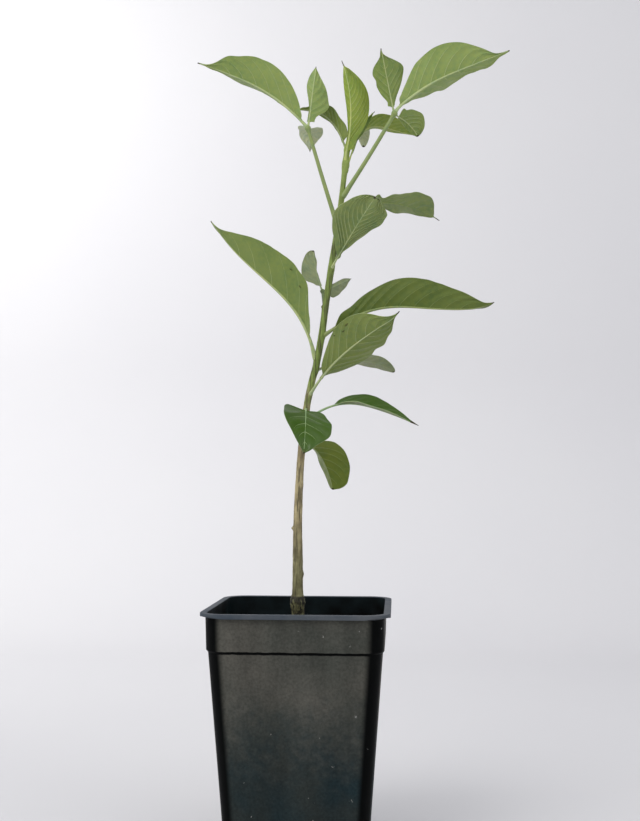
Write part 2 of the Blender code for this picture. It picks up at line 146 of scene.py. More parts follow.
# Meshes
def loft(bm: Mesh, rings: Sequence[Ring], slot: int = 0) -> list[list[bmesh.types.BMVert]]:
    """Adds a closed skin through rings of points that match one to one.

    Args:
        bm: mesh that the skin is added to.
        rings: outlines, each with the same number of points.
        slot: material slot of the skin.

    Returns:
        The vertices of each ring, in the order of the rings.
    """
    made = bmesh.ops.create_circle(bm, cap_ends=True, segments=len(rings[0]), radius=1.0)
    face = made["verts"][0].link_faces[0]
    face.material_index, face.smooth = slot, True
    foot, loops = list(face.edges), []
    for ring in rings:
        if loops:
            face = bmesh.ops.extrude_discrete_faces(bm, faces=[face])["faces"][0]
        for vertex, point in zip(face.verts, ring):
            vertex.co = point
        loops.append(list(face.verts))
    for cap in bmesh.ops.contextual_create(bm, geom=foot)["faces"]:
        cap.material_index, cap.smooth = slot, True
    return loops


def circle_ring(centre: Vector, across: Vector, upward: Vector, radius: float, sides: int) -> Ring:
    """Points of a circle in the plane of two unit vectors."""
    angles = [2 * math.pi * side / sides for side in range(sides)]
    return [centre + across * (radius * math.cos(a)) + upward * (radius * math.sin(a)) for a in angles]


def square_ring(half: float, corner: float, height: float, steps: int, corner_lift: float = 0.0) -> Ring:
    """Square outline with rounded corners.

    Args:
        half: half the width across flats.
        corner: radius of the corners.
        height: height of the outline.
        steps: steps round each corner.
        corner_lift: how far the middle of each corner stands above the height.

    Returns:
        The outline's points.
    """
    middle = half - corner
    points = []
    for quarter in range(4):
        centre = Matrix.Rotation(math.radians(90 * quarter), 3, "Z") @ Vector((middle, middle, height))
        for share in (step / steps for step in range(steps + 1)):
            lift = Vector((0, 0, corner_lift * math.sin(math.pi * share)))
            points.append(centre + compass(90 * (quarter + share)) * corner + lift)
    return points


def bevel_rings(bm: Mesh, rings: Sequence[Sequence[bmesh.types.BMVert]], width: float) -> None:
    """Rounds the edges that run round some rings of a skin."""
    members = [set(ring) for ring in rings]
    edges = [edge for edge in bm.edges if any(set(edge.verts) <= ring for ring in members)]
    bmesh.ops.bevel(bm, geom=edges, offset=width, offset_type="OFFSET", affect="EDGES", segments=3,
                    profile=0.5, material=-1, clamp_overlap=True)


def slot_faces(verts: Sequence[bmesh.types.BMVert], slot: int) -> None:
    """Gives the faces round some vertices a material slot."""
    for face in {face for vertex in verts for face in vertex.link_faces}:
        face.material_index = slot


def finished(name: str, bm: Mesh, materials: Sequence[Material], sharp: float) -> bpy.types.Object:
    """Turns a mesh in millimetres into an object in metres.

    Args:
        name: the object's name.
        bm: the mesh, which is freed.
        materials: what fills its material slots, in order.
        sharp: angle between faces above which an edge stays sharp.

    Returns:
        The object, at the origin and shaded smooth.
    """
    bmesh.ops.recalc_face_normals(bm, faces=bm.faces)
    bmesh.ops.transform(bm, matrix=Matrix.Scale(MM, 4), verts=bm.verts)
    mesh = bpy.data.meshes.new(name)
    bm.to_mesh(mesh)
    bm.free()
    for made in materials:
        mesh.materials.append(made)
    mesh.shade_smooth()
    mesh.set_sharp_from_angle(angle=math.radians(sharp))
    piece = bpy.data.objects.new(name, mesh)
    bpy.context.scene.collection.objects.link(piece)
    return piece


def settle(piece: bpy.types.Object, slot: str, *nodes: str) -> None:
    """Lets a piece ride on the plant and stand for its solids, which are hidden."""
    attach(piece, BODY)
    if nodes:
        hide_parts(*nodes)
    log.info("%s: %d faces", piece.name, len(piece.data.polygons))


# Shader nodes
class Graph:
    """A node tree being filled, with short ways to add and join its nodes."""

    def __init__(self, tree: Tree) -> None:
        """Starts on a tree."""
        self.tree = tree

    def node(self, kind: str, inputs: dict, **settings) -> bpy.types.Node:
        """Adds a node.

        Args:
            kind: the node's type, without its ShaderNode prefix.
            inputs: values or sockets for its inputs, by name or number.
            **settings: the node's own properties.

        Returns:
            The new node.
        """
        made = self.tree.nodes.new("ShaderNode" + kind)
        for key, value in settings.items():
            setattr(made, key, value)
        for key, value in inputs.items():
            if isinstance(value, Socket):
                self.tree.links.new(value, made.inputs[key])
            else:
                colour = made.inputs[key].type == "RGBA"
                made.inputs[key].default_value = (*value, 1.0) if colour else value
        return made

    def place(self) -> Socket:
        """The shaded point's place on its piece, in metres."""
        return self.node("TexCoord", {}).outputs["Object"]

    def math(self, kind: str, first: Value, second: Value, node: str = "Math") -> Socket:
        """Sum, product or the like of two values, each a socket or plain."""
        return self.node(node, {0: first, 1: second}, operation=kind).outputs[0]

    def cloud(self, place: Socket, scale: Value, detail: float, roughness: float = 0.5) -> Sockets:
        """Cloudy noise, by name of its outputs."""
        inputs = {"Vector": place, "Scale": scale, "Detail": detail, "Roughness": roughness}
        return self.node("TexNoise", inputs).outputs

    def ramp(self, value: Socket, low: Value = 0.0, high: Value = 1.0, to: Pair = (0.0, 1.0),
             kind: str = "LINEAR") -> Socket:
        """Number that goes from one end of to to the other as a value goes from low to high."""
        inputs = {"Value": value, "From Min": low, "From Max": high, "To Min": to[0], "To Max": to[1]}
        return self.node("MapRange", inputs, interpolation_type=kind).outputs["Result"]

    def mix(self, factor: Value, first: Value, second: Value) -> Socket:
        """Colour between two others, each a socket or a plain colour."""
        return self.node("Mix", {0: factor, 6: first, 7: second}, data_type="RGBA").outputs[2]


class SharedGroups:
    """Shader groups that several finishes use, each built once.

    A noise is its scale and detail, or its detail and roughness where a finish gives the scale.
    """

    MOTTLE_DETAIL = 5.0
    MOTTLE_EDGES = (0.36, 0.64)
    GRAIN_NOISE = (6.0, 0.6)
    RAGGED_NOISE = (160.0, 3.0)
    SPECK_NOISE = (700.0, 2.0)
    SPECK_TEAR = (0.004, 0.004, 0.004)

    def __init__(self) -> None:
        """Builds every group."""
        number = "Float"
        self.mottle = self.group(
            "tone_mottle", self.fill_mottle, Tone="Color", Patch="Color", Scale=number, Amount=number)
        self.grain = self.group("surface_grain", self.fill_grain, Scale=number, Stretch="Vector")
        self.band = self.group("height_mask", self.fill_band, Low=number, High=number, Ragged=number)
        self.specks = self.group("specks", self.fill_specks, Scale=number, Size=number)
        self.flats = self.group("flat_wall", self.fill_flats, From=number, To=number)

    def group(self, name: str, fill: Callable[[Graph, Sockets], Sockets], **inputs: str) -> Tree:
        """Makes a group.

        Args:
            name: the group's name.
            fill: adds its nodes to a graph, given its input sockets, and returns its outputs by name.
            **inputs: names of its inputs, each with its kind of socket.

        Returns:
            The group.
        """
        tree = bpy.data.node_groups.new(name, "ShaderNodeTree")
        for socket, kind in inputs.items():
            tree.interface.new_socket(name=socket, in_out="INPUT", socket_type="NodeSocket" + kind)
        outputs = fill(Graph(tree), tree.nodes.new("NodeGroupInput").outputs)
        for socket in outputs:
            kind = "Color" if socket == "Color" else "Float"
            tree.interface.new_socket(name=socket, in_out="OUTPUT", socket_type="NodeSocket" + kind)
        leaving = tree.nodes.new("NodeGroupOutput")
        for socket, value in outputs.items():
            tree.links.new(value, leaving.inputs[socket])
        return tree

    def fill_mottle(self, graph: Graph, given: Sockets) -> Sockets:
        """Soft patches of a second tone over a first."""
        cloud = graph.cloud(graph.place(), given["Scale"], self.MOTTLE_DETAIL)["Fac"]
        mask = graph.math("MULTIPLY", graph.ramp(cloud, *self.MOTTLE_EDGES), given["Amount"])
        return {"Color": graph.mix(mask, given["Tone"], given["Patch"]), "Mask": mask}

    def fill_grain(self, graph: Graph, given: Sockets) -> Sockets:
        """Fine relief, drawn out by different amounts along the three axes."""
        drawn = graph.math("MULTIPLY", graph.place(), given["Stretch"], "VectorMath")
        return {"Height": graph.cloud(drawn, given["Scale"], *self.GRAIN_NOISE)["Fac"]}

    def fill_band(self, graph: Graph, given: Sockets) -> Sockets:
        """Mask that climbs from 0 to 1 between two heights, with a ragged line between."""
        place = graph.place()
        cloud = graph.cloud(place, *self.RAGGED_NOISE)["Fac"]
        shift = graph.math("MULTIPLY", graph.math("SUBTRACT", cloud, 0.5), given["Ragged"])
        height = graph.math("ADD", graph.node("SeparateXYZ", {0: place}).outputs["Z"], shift)
        return {"Mask": graph.ramp(height, given["Low"], given["High"], kind="SMOOTHSTEP")}

    def fill_specks(self, graph: Graph, given: Sockets) -> Sockets:
        """Scattered round specks, 1 inside them and 0 outside."""
        place = graph.place()
        cloud = graph.cloud(place, *self.SPECK_NOISE)["Color"]
        torn = graph.math("MULTIPLY", cloud, self.SPECK_TEAR, "VectorMath")
        moved = graph.math("ADD", place, torn, "VectorMath")
        cells = graph.node("TexVoronoi", {"Vector": moved, "Scale": given["Scale"], "Randomness": 1.0})
        return {"Mask": graph.ramp(cells.outputs["Distance"], given["Size"], 0.0)}

    def fill_flats(self, graph: Graph, given: Sockets) -> Sockets:
        """Mask over the flats of a square pot: how near to a corner it fades out and is full again."""
        place = graph.node("VectorMath", {0: graph.place()}, operation="ABSOLUTE").outputs[0]
        plan = graph.node("SeparateXYZ", {0: place}).outputs
        ends = (graph.math(kind, plan["X"], plan["Y"]) for kind in ("MINIMUM", "MAXIMUM"))
        ratio = graph.math("DIVIDE", *ends)
        return {"Mask": graph.ramp(ratio, given["From"], given["To"], kind="SMOOTHSTEP")}


class Skin(Graph):
    """A material being made, with its shader and short ways to use the shared groups."""

    def __init__(self, groups: SharedGroups, name: str, **values) -> None:
        """Starts a material.

        Args:
            groups: the shared groups.
            name: the material's name.
            **values: plain values for the shader's sockets, with _ for a space in a socket's name.
        """
        self.material = bpy.data.materials.new(name)
        self.material.use_nodes = True
        super().__init__(self.material.node_tree)
        self.groups, self.shader = groups, self.tree.nodes["Principled BSDF"]
        for key, value in values.items():
            self.shader.inputs[key.replace("_", " ").title().replace("Ior", "IOR")].default_value = value

    def shared(self, group: Tree, **inputs) -> Sockets:
        """Outputs of a shared group that is given these inputs."""
        return self.node("Group", inputs, node_tree=group).outputs

    def mottle(self, tone: Triple, patch: Triple, scale: float, amount: float) -> Sockets:
        """Colour and mask of soft patches of a second tone over a first."""
        return self.shared(self.groups.mottle, Tone=tone, Patch=patch, Scale=scale, Amount=amount)

    def grain(self, scale: float, upward: float = 1.0) -> Socket:
        """Fine relief, drawn out in height where upward is below 1."""
        return self.shared(self.groups.grain, Scale=scale, Stretch=(1.0, 1.0, upward))["Height"]

    def band(self, low: float, high: float, ragged: float = 0.0) -> Socket:
        """Mask that climbs from 0 to 1 between two heights in millimetres."""
        return self.shared(self.groups.band, Low=low * MM, High=high * MM, Ragged=ragged * MM)["Mask"]

    def feed(self, **sockets: Socket) -> None:
        """Joins sockets to the shader's, with _ for a space in a socket's name."""
        for key, value in sockets.items():
            self.tree.links.new(value, self.shader.inputs[key.replace("_", " ").title()])

    def bump(self, height: Socket, strength: float, depth: float) -> None:
        """Gives the surface relief: how much of it shows, and how many millimetres deep it is."""
        made = self.node("Bump", {"Height": height, "Strength": strength, "Distance": depth * MM})
        self.feed(normal=made.outputs["Normal"])


# Finishes
@dataclass(frozen=True)
class PlasticFinish:
    """Black moulded plastic, with grit and a dry film on its flat outer walls. The film also carries a
    painted reflection, lighter high up and fading out towards the corners; the lip is painted with a
    reflection and wear, and a painted shadow lies under the collar.
    """

    name: str
    dusty: bool = True
    tone: Triple = (0.0018, 0.0022, 0.0022)
    # Film tones high and low on the walls: a dust film that also paints the walls' reflection, lighter high
    # up and darker near the foot.
    film_and_reflection_high: tuple[Triple, Triple] = ((0.112, 0.108, 0.092), (0.066, 0.07, 0.06))
    film_and_reflection_low: tuple[Triple, Triple] = ((0.018, 0.033, 0.038), (0.034, 0.04, 0.037))
    film_and_reflection_heights: Pair = (60.0, 150.0)
    # Where the film and its painted reflection fade out towards the corners, which stay black.
    corner_fade: Pair = (0.895, 0.785)
    # The lip's bluish tone is a painted reflection; its grey patches are painted highlight and wear.
    lip: tuple[Triple, Triple] = ((0.048, 0.061, 0.077), (0.13, 0.135, 0.14))
    lip_heights: Pair = (196.0, 196.6)
    # Painted shadow under the collar step: between these heights the film is left out.
    collar_shadow: tuple[Pair, Pair] = ((168.4, 169.2), (170.8, 171.2))
    grit: Triple = (0.34, 0.34, 0.32)
    gloss: float = 0.03
    roughness: Pair = (0.35, 0.6)
    streaks: Pair = (55.0, 0.16)
    pore_scale: float = 900.0
    relief: Pair = (0.2, 0.25)
    clean_patches: Pair = (30.0, 0.4)
    film_and_reflection_scales: Pair = (24.0, 19.0)
    film_and_reflection_share: float = 0.9
    film_and_reflection_ragged: float = 60.0
    collar_shadow_ragged: float = 1.5
    streak_mask: Mask = (0.3, 0.65, (0.7, 1.0))
    powder_scale: float = 480.0
    powder_mask: Mask = (0.35, 0.65, (0.72, 1.0))
    lip_patches: Pair = (34.0, 0.55)
    specks: Pair = (62.0, 0.055)

    def material(self, groups: SharedGroups) -> Material:
        """Makes a plastic's material."""
        skin = Skin(groups, self.name, specular_ior_level=self.gloss)
        streaks = skin.grain(*self.streaks)
        if self.dusty:
            colour = self.lay_dust_and_painted_light(skin, streaks)
        else:
            colour = skin.mottle(self.tone, self.film_and_reflection_low[0], *self.clean_patches)["Color"]
        skin.feed(base_color=colour, roughness=skin.ramp(streaks, to=self.roughness))
        skin.bump(skin.grain(self.pore_scale), *self.relief)
        return skin.material

    def lay_dust_and_painted_light(self, skin: Skin, streaks: Socket) -> Socket:
        """Lays the film with its painted reflection, the painted shadow under the collar, the lip's painted
        reflection and wear, and the grit over the plain tone.

        Args:
            skin: the material being made.
            streaks: relief that runs down the walls.

        Returns:
            The colour.
        """
        # The high film tone is lighter than the low one: painted reflection as well as film.
        kinds = zip((self.film_and_reflection_low, self.film_and_reflection_high), self.film_and_reflection_scales)
        film_and_reflections = [skin.mottle(*tones, scale, self.film_and_reflection_share)["Color"] for tones, scale in kinds]
        film_and_reflection = skin.mix(skin.band(*self.film_and_reflection_heights, self.film_and_reflection_ragged), *film_and_reflections)
        # Painted shadow under the collar: the film is left out of this band, so the black shows.
        collar_shadow = skin.math("SUBTRACT", *(skin.band(*ends, self.collar_shadow_ragged) for ends in self.collar_shadow))
        # The film and its painted reflection fade out towards the corners.
        start, end = self.corner_fade
        amount = skin.shared(skin.groups.flats, From=start, To=end)["Mask"]
        thick = skin.ramp(streaks, *self.streak_mask)
        powder = skin.ramp(skin.grain(self.powder_scale), *self.powder_mask)
        for share in (thick, powder, skin.math("SUBTRACT", 1.0, collar_shadow)):
            amount = skin.math("MULTIPLY", amount, share)
        # Painted reflection on the lip, bluish, with grey patches of painted highlight and wear.
        lip_reflection_and_wear = skin.mottle(*self.lip, *self.lip_patches)["Color"]
        lipped = skin.mix(skin.band(*self.lip_heights), skin.mix(amount, self.tone, film_and_reflection), lip_reflection_and_wear)
        scale, size = self.specks
        return skin.mix(skin.shared(skin.groups.specks, Scale=scale, Size=size)["Mask"], lipped, self.grit)


@dataclass(frozen=True)
class SoilFinish:
    """Moist, crumbly potting mix, or loose crumbs of it in one tone."""

    name: str
    tone: Triple
    patch: Triple
    roughness: float = 0.92
    gloss: float = 0.2
    patch_scale: float = 220.0
    grain_scale: float = 420.0
    relief: Pair = (0.9, 1.5)

    def material(self, groups: SharedGroups) -> Material:
        """Makes a material of soil."""
        skin = Skin(groups, self.name, roughness=self.roughness, specular_ior_level=self.gloss)
        skin.feed(base_color=skin.mottle(self.tone, self.patch, self.patch_scale, 1.0)["Color"])
        skin.bump(skin.grain(self.grain_scale), *self.relief)
        return skin.material


@dataclass(frozen=True)
class BarkZone:
    """A stretch of bark that begins between two heights: its tone and its darker patches."""

    tone: Triple
    dark: Triple
    patch_scale: float
    low: float = 0.0
    high: float = 1.0
    ragged: float = 0.0


@dataclass(frozen=True)
class BarkFinish:
    """Young bark: dark and cracked at the root collar, streaked olive above and green near the top."""

    zones: tuple[BarkZone, ...] = (
        BarkZone((0.2, 0.2, 0.095), (0.06, 0.052, 0.022), 420.0),
        BarkZone((0.008, 0.006, 0.003), (0.02, 0.016, 0.008), 200.0, 204.6, 205.6, 2.0),
        BarkZone((0.28, 0.265, 0.13), (0.12, 0.105, 0.045), 110.0, 206.2, 207.8, 2.0),
        BarkZone((0.45, 0.375, 0.205), (0.22, 0.175, 0.09), 110.0, 220.0, 285.0, 30.0),
        BarkZone((0.21, 0.285, 0.062), (0.13, 0.175, 0.042), 90.0, 345.0, 400.0, 90.0),
        BarkZone((0.27, 0.35, 0.085), (0.19, 0.25, 0.055), 90.0, 500.0, 585.0, 60.0),
    )
    crack: Triple = (0.045, 0.04, 0.018)
    crack_share: float = 0.75
    collar_crack: Triple = (0.005, 0.004, 0.002)
    roughness: float = 0.6
    gloss: float = 0.3
    patch_share: float = 0.85
    collar_grain: Pair = (380.0, 0.45)
    collar_mask: Pair = (0.48, 0.54)
    crack_grain: Pair = (560.0, 0.07)
    crack_mask: Pair = (0.47, 0.58)
    relief: Pair = (0.9, 0.6)

    def material(self, groups: SharedGroups) -> Material:
        """Makes the stem's material, with each zone laid over those below it."""
        skin = Skin(groups, "young_bark", roughness=self.roughness, specular_ior_level=self.gloss)
        patches = ((zone.tone, zone.dark, zone.patch_scale, self.patch_share) for zone in self.zones)
        tones = [skin.mottle(*patch)["Color"] for patch in patches]
        rough = skin.ramp(skin.grain(*self.collar_grain), *self.collar_mask)
        colour = skin.mix(rough, tones[0], self.collar_crack)
        for zone, tone in zip(self.zones[1:], tones[1:]):
            mask = skin.band(zone.low, zone.high, zone.ragged)
            colour = skin.mix(mask, colour, tone)
        grain = skin.grain(*self.crack_grain)
        cracked = skin.ramp(grain, *self.crack_mask, (0.0, self.crack_share))
        amount = skin.math("MULTIPLY", cracked, skin.math("SUBTRACT", 1.0, mask))
        skin.feed(base_color=skin.mix(amount, colour, self.crack))
        skin.bump(grain, *self.relief)
        return skin.material


@dataclass(frozen=True)
class GreenFinish:
    """Smooth living skin: one green, with broad darker patches and fine yellower flecks."""

    name: str
    tone: Triple
    roughness: float
    sheen: float = 0.0
    patch_shade: Triple = (0.66, 0.78, 0.74)
    fleck_shade: Triple = (1.18, 1.08, 0.85)
    patch_scale: float = 48.0
    fleck_scale: float = 310.0
    fleck_share: float = 0.6
    pore_scale: float = 620.0
    relief: float = 0.45
    relief_depth: float = 0.35
    gloss: float = 0.35
    sheen_roughness: float = 0.6
    patch_share: float = 0.8
    waxier: float = 0.06
    drier: float = 0.08

    def shaded(self, shades: Triple) -> Triple:
        """The tone with each of its three parts made lighter or darker."""
        return tuple(part * shade for part, shade in zip(self.tone, shades))

    def material(self, groups: SharedGroups) -> Material:
        """Makes the skin's material."""
        skin = Skin(groups, self.name, specular_ior_level=self.gloss, sheen_weight=self.sheen,
                    sheen_roughness=self.sheen_roughness)
        fleck = self.shaded(self.fleck_shade)
        broad = skin.mottle(self.tone, self.shaded(self.patch_shade), self.patch_scale, self.patch_share)
        fine = skin.mottle(fleck, fleck, self.fleck_scale, self.fleck_share)
        waxy = skin.ramp(broad["Mask"], to=(self.roughness - self.waxier, self.roughness + self.drier))
        skin.feed(base_color=skin.mix(fine["Mask"], broad["Color"], fine["Color"]), roughness=waxy)
        skin.bump(skin.grain(self.pore_scale), self.relief, self.relief_depth)
        return skin.material


class LeafSlot(IntEnum):
    """Material slots of a leaf's mesh."""

    UPPER = 0
    UNDER = 1
    RIB = 2
    VEIN = 3
    HALO = 4
    BLEMISH = 5


@dataclass(frozen=True)
class LeafColours:
    """Plain colours of a leaf: its upper side, its under side and its midrib."""

    upper: Triple
    under: Triple
    rib: Triple


class LeafTone(Enum):
    """How old a leaf is and how much light or shade is painted into its colours: several tones are lighter
    or darker copies of another.
    """

    MATURE = LeafColours((0.08, 0.15, 0.022), (0.188, 0.26, 0.058), (0.4, 0.46, 0.22))
    # MATURE made lighter all over: painted light on the top leaves of the crown.
    BRIGHT = LeafColours((0.1, 0.18, 0.03), (0.25, 0.335, 0.095), (0.44, 0.52, 0.26))
    DULL = LeafColours((0.07, 0.13, 0.02), (0.188, 0.248, 0.06), (0.44, 0.5, 0.27))
    # DULL's colours with a lighter, bluer underside: painted sheen.
    DUSTY = LeafColours((0.07, 0.13, 0.02), (0.235, 0.305, 0.1), (0.45, 0.52, 0.27))
    # MATURE with a darker underside: painted shade.
    SOFT = LeafColours((0.08, 0.15, 0.022), (0.162, 0.224, 0.05), (0.4, 0.46, 0.22))
    SHADED = LeafColours((0.07, 0.12, 0.016), (0.105, 0.15, 0.02), (0.27, 0.32, 0.12))
    DEEP = LeafColours((0.044, 0.1, 0.009), (0.165, 0.205, 0.07), (0.3, 0.42, 0.22))
    # Its underside is lightened: painted light for leaves that sit in shade.
    OLIVE = LeafColours((0.1, 0.145, 0.026), (0.15, 0.205, 0.024), (0.32, 0.38, 0.18))
    VEILED = LeafColours((0.07, 0.13, 0.02), (0.208, 0.272, 0.088), (0.23, 0.3, 0.1))
    PALE = LeafColours((0.09, 0.15, 0.05), (0.23, 0.27, 0.14), (0.28, 0.34, 0.19))
    # PALE made far lighter: painted light on hanging leaves that their neighbours shade.
    LIT_PALE = LeafColours((0.12, 0.18, 0.07), (0.5, 0.545, 0.37), (0.52, 0.57, 0.38))
    YOUNG = LeafColours((0.12, 0.2, 0.025), (0.24, 0.315, 0.042), (0.44, 0.5, 0.17))
    FRESH = LeafColours((0.14, 0.23, 0.03), (0.285, 0.38, 0.056), (0.47, 0.54, 0.2))


class LeafPaint:
    """Materials for every leaf tone, made when a tone is first asked for."""

    UPPER_ROUGHNESS = 0.36
    UNDER_ROUGHNESS = 0.5
    UNDER_SHEEN = 0.1
    VEIN_SHARE = 0.6
    # Bluish, lighter patches on the top sides: painted sky sheen.
    SKY_SHEEN = (1.4, 1.06, 2.6)

    def __init__(self, groups: SharedGroups) -> None:
        """Keeps the shared groups and makes the materials of dry spots and their rims."""
        self.groups = groups
        dry = (("blemish_halo", (0.11, 0.13, 0.03), 0.6), ("dry_blemish", (0.045, 0.037, 0.015), 0.7))
        self.dry = [GreenFinish(*finish).material(groups) for finish in dry]
        self.ready: dict[LeafTone, list[Material]] = {}

    def materials(self, tone: LeafTone) -> list[Material]:
        """Materials of a leaf of some tone, one for each slot.

        Args:
            tone: the leaf's tone.

        Returns:
            The materials in the order of the slots.
        """
        if tone not in self.ready:
            colours, name, rough = tone.value, tone.name.lower() + "_leaf_", self.UNDER_ROUGHNESS
            vein = tuple(blend(low, high, self.VEIN_SHARE) for low, high in zip(colours.under, colours.rib))
            finishes = (
                GreenFinish(name + "top", colours.upper, self.UPPER_ROUGHNESS, patch_shade=self.SKY_SHEEN),
                GreenFinish(name + "underside", colours.under, rough, self.UNDER_SHEEN),
                GreenFinish(name + "rib", colours.rib, rough, relief=0.2),
                GreenFinish(name + "vein", vein, rough, relief=0.2),
            )
            self.ready[tone] = [finish.material(self.groups) for finish in finishes] + self.dry
        return self.ready[tone]


# Pot
@dataclass
class Pot:
    """Tall square nursery pot with a collar, a rolled lip and drain holes in its floor."""

    height: float = 200.0
    rim_width: float = 150.0
    foot_width: float = 111.0
    wall: float = 1.3
    floor: float = 2.0
    lip_reach: float = 4.2
    lip_depth: float = 3.6
    lip_corner_lift: float = 1.4
    collar_depth: float = 29.0
    collar_taper: float = 0.8
    collar_step: float = 1.2
    collar_step_height: float = 1.6
    rim_corner: float = 20.0
    foot_corner: float = 14.0
    least_corner: float = 1.0
    corner_steps: int = 12
    lip_rounding: float = 0.8
    step_rounding: float = 0.5
    foot_rounding: float = 1.2
    drain_diameter: float = 9.0
    drain_spacing: float = 34.0
    drain_sides: int = 24
    sharp: float = 40.0

    @property
    def collar_foot(self) -> float:
        """Height of the collar's lower edge."""
        return self.height - self.collar_depth

    def half_width(self, height: float) -> float:
        """Half width of the outer wall at a height, below the lip."""
        collar_top = self.rim_width / 2 - self.lip_reach
        collar_low = collar_top - self.collar_taper
        if height >= self.collar_foot:
            return blend(collar_low, collar_top, (height - self.collar_foot) / self.collar_depth)
        return blend(self.foot_width / 2, collar_low - self.collar_step, height / self.collar_foot)

    def ring(self, height: float, inset: float = 0.0) -> Ring:
        """Outline of the outer wall at a height, or of a line that far inside it."""
        corner = blend(self.foot_corner, self.rim_corner - self.lip_reach, height / self.height) - inset
        half = self.half_width(height) - inset
        return square_ring(half, max(corner, self.least_corner), height, self.corner_steps)

    def build(self) -> Mesh:
        """Makes the pot's wall and floor as one skin, with the faces that look inwards in slot 1.

        Returns:
            The mesh, with no drain holes yet.
        """
        bm = bmesh.new()
        lip_foot, step_foot = self.height - self.lip_depth, self.collar_foot - self.collar_step_height
        lip = self.rim_width / 2, self.rim_corner
        outside = [self.ring(height) for height in (0.0, step_foot, self.collar_foot, lip_foot)]
        rim = [
            square_ring(*lip, lip_foot, self.corner_steps, self.lip_corner_lift),
            square_ring(*lip, self.height, self.corner_steps),
        ]
        drop = (self.height, self.collar_foot + self.wall, step_foot, self.floor)
        inside = [self.ring(height, self.wall) for height in drop]
        foot, step_low, step_high, _, *mouth = loft(bm, outside + rim + inside)[:7]
        bevel_rings(bm, mouth, self.lip_rounding / 2)
        bevel_rings(bm, [step_low, step_high], self.step_rounding)
        bevel_rings(bm, [foot], self.foot_rounding)
        bmesh.ops.recalc_face_normals(bm, faces=bm.faces)
        for face in bm.faces:
            centre = face.calc_center_median()
            inward = centre.x * face.normal.x + centre.y * face.normal.y < 0
            if inward and centre.z < self.height - self.lip_rounding:
                face.material_index = 1
        return bm

    def drains(self) -> bpy.types.Object:
        """Makes the cutter for the drain holes, with none at the floor's middle."""
        bm = bmesh.new()
        radius = self.drain_diameter / 2
        for column, row in itertools.product((-1, 0, 1), repeat=2):
            if column or row:
                place = Matrix.Translation((column * self.drain_spacing, row * self.drain_spacing, 0))
                bmesh.ops.create_cone(bm, cap_ends=True, segments=self.drain_sides, radius1=radius,
                                      radius2=radius, depth=4 * self.floor, matrix=place)
        return finished("drain_cutters", bm, [], self.sharp)

    def dress(self, groups: SharedGroups) -> None:
        """Builds the pot, cuts its drain holes and gives it its finish."""
        plastics = (PlasticFinish("dust_and_painted_light_plastic"), PlasticFinish("clean_plastic", dusty=False))
        materials = [finish.material(groups) for finish in plastics]
        piece, cutters = finished("pot_shell", self.build(), materials, self.sharp), self.drains()
        cut = piece.modifiers.new("drains", "BOOLEAN")
        cut.operation, cut.object = "DIFFERENCE", cutters
        holed = bpy.data.meshes.new_from_object(piece.evaluated_get(bpy.context.evaluated_depsgraph_get()))
        piece.modifiers.clear()
        piece.data, holed.name = holed, "pot_shell"
        bpy.data.objects.remove(cutters)
        settle(piece, "pot_plastic", "pot")


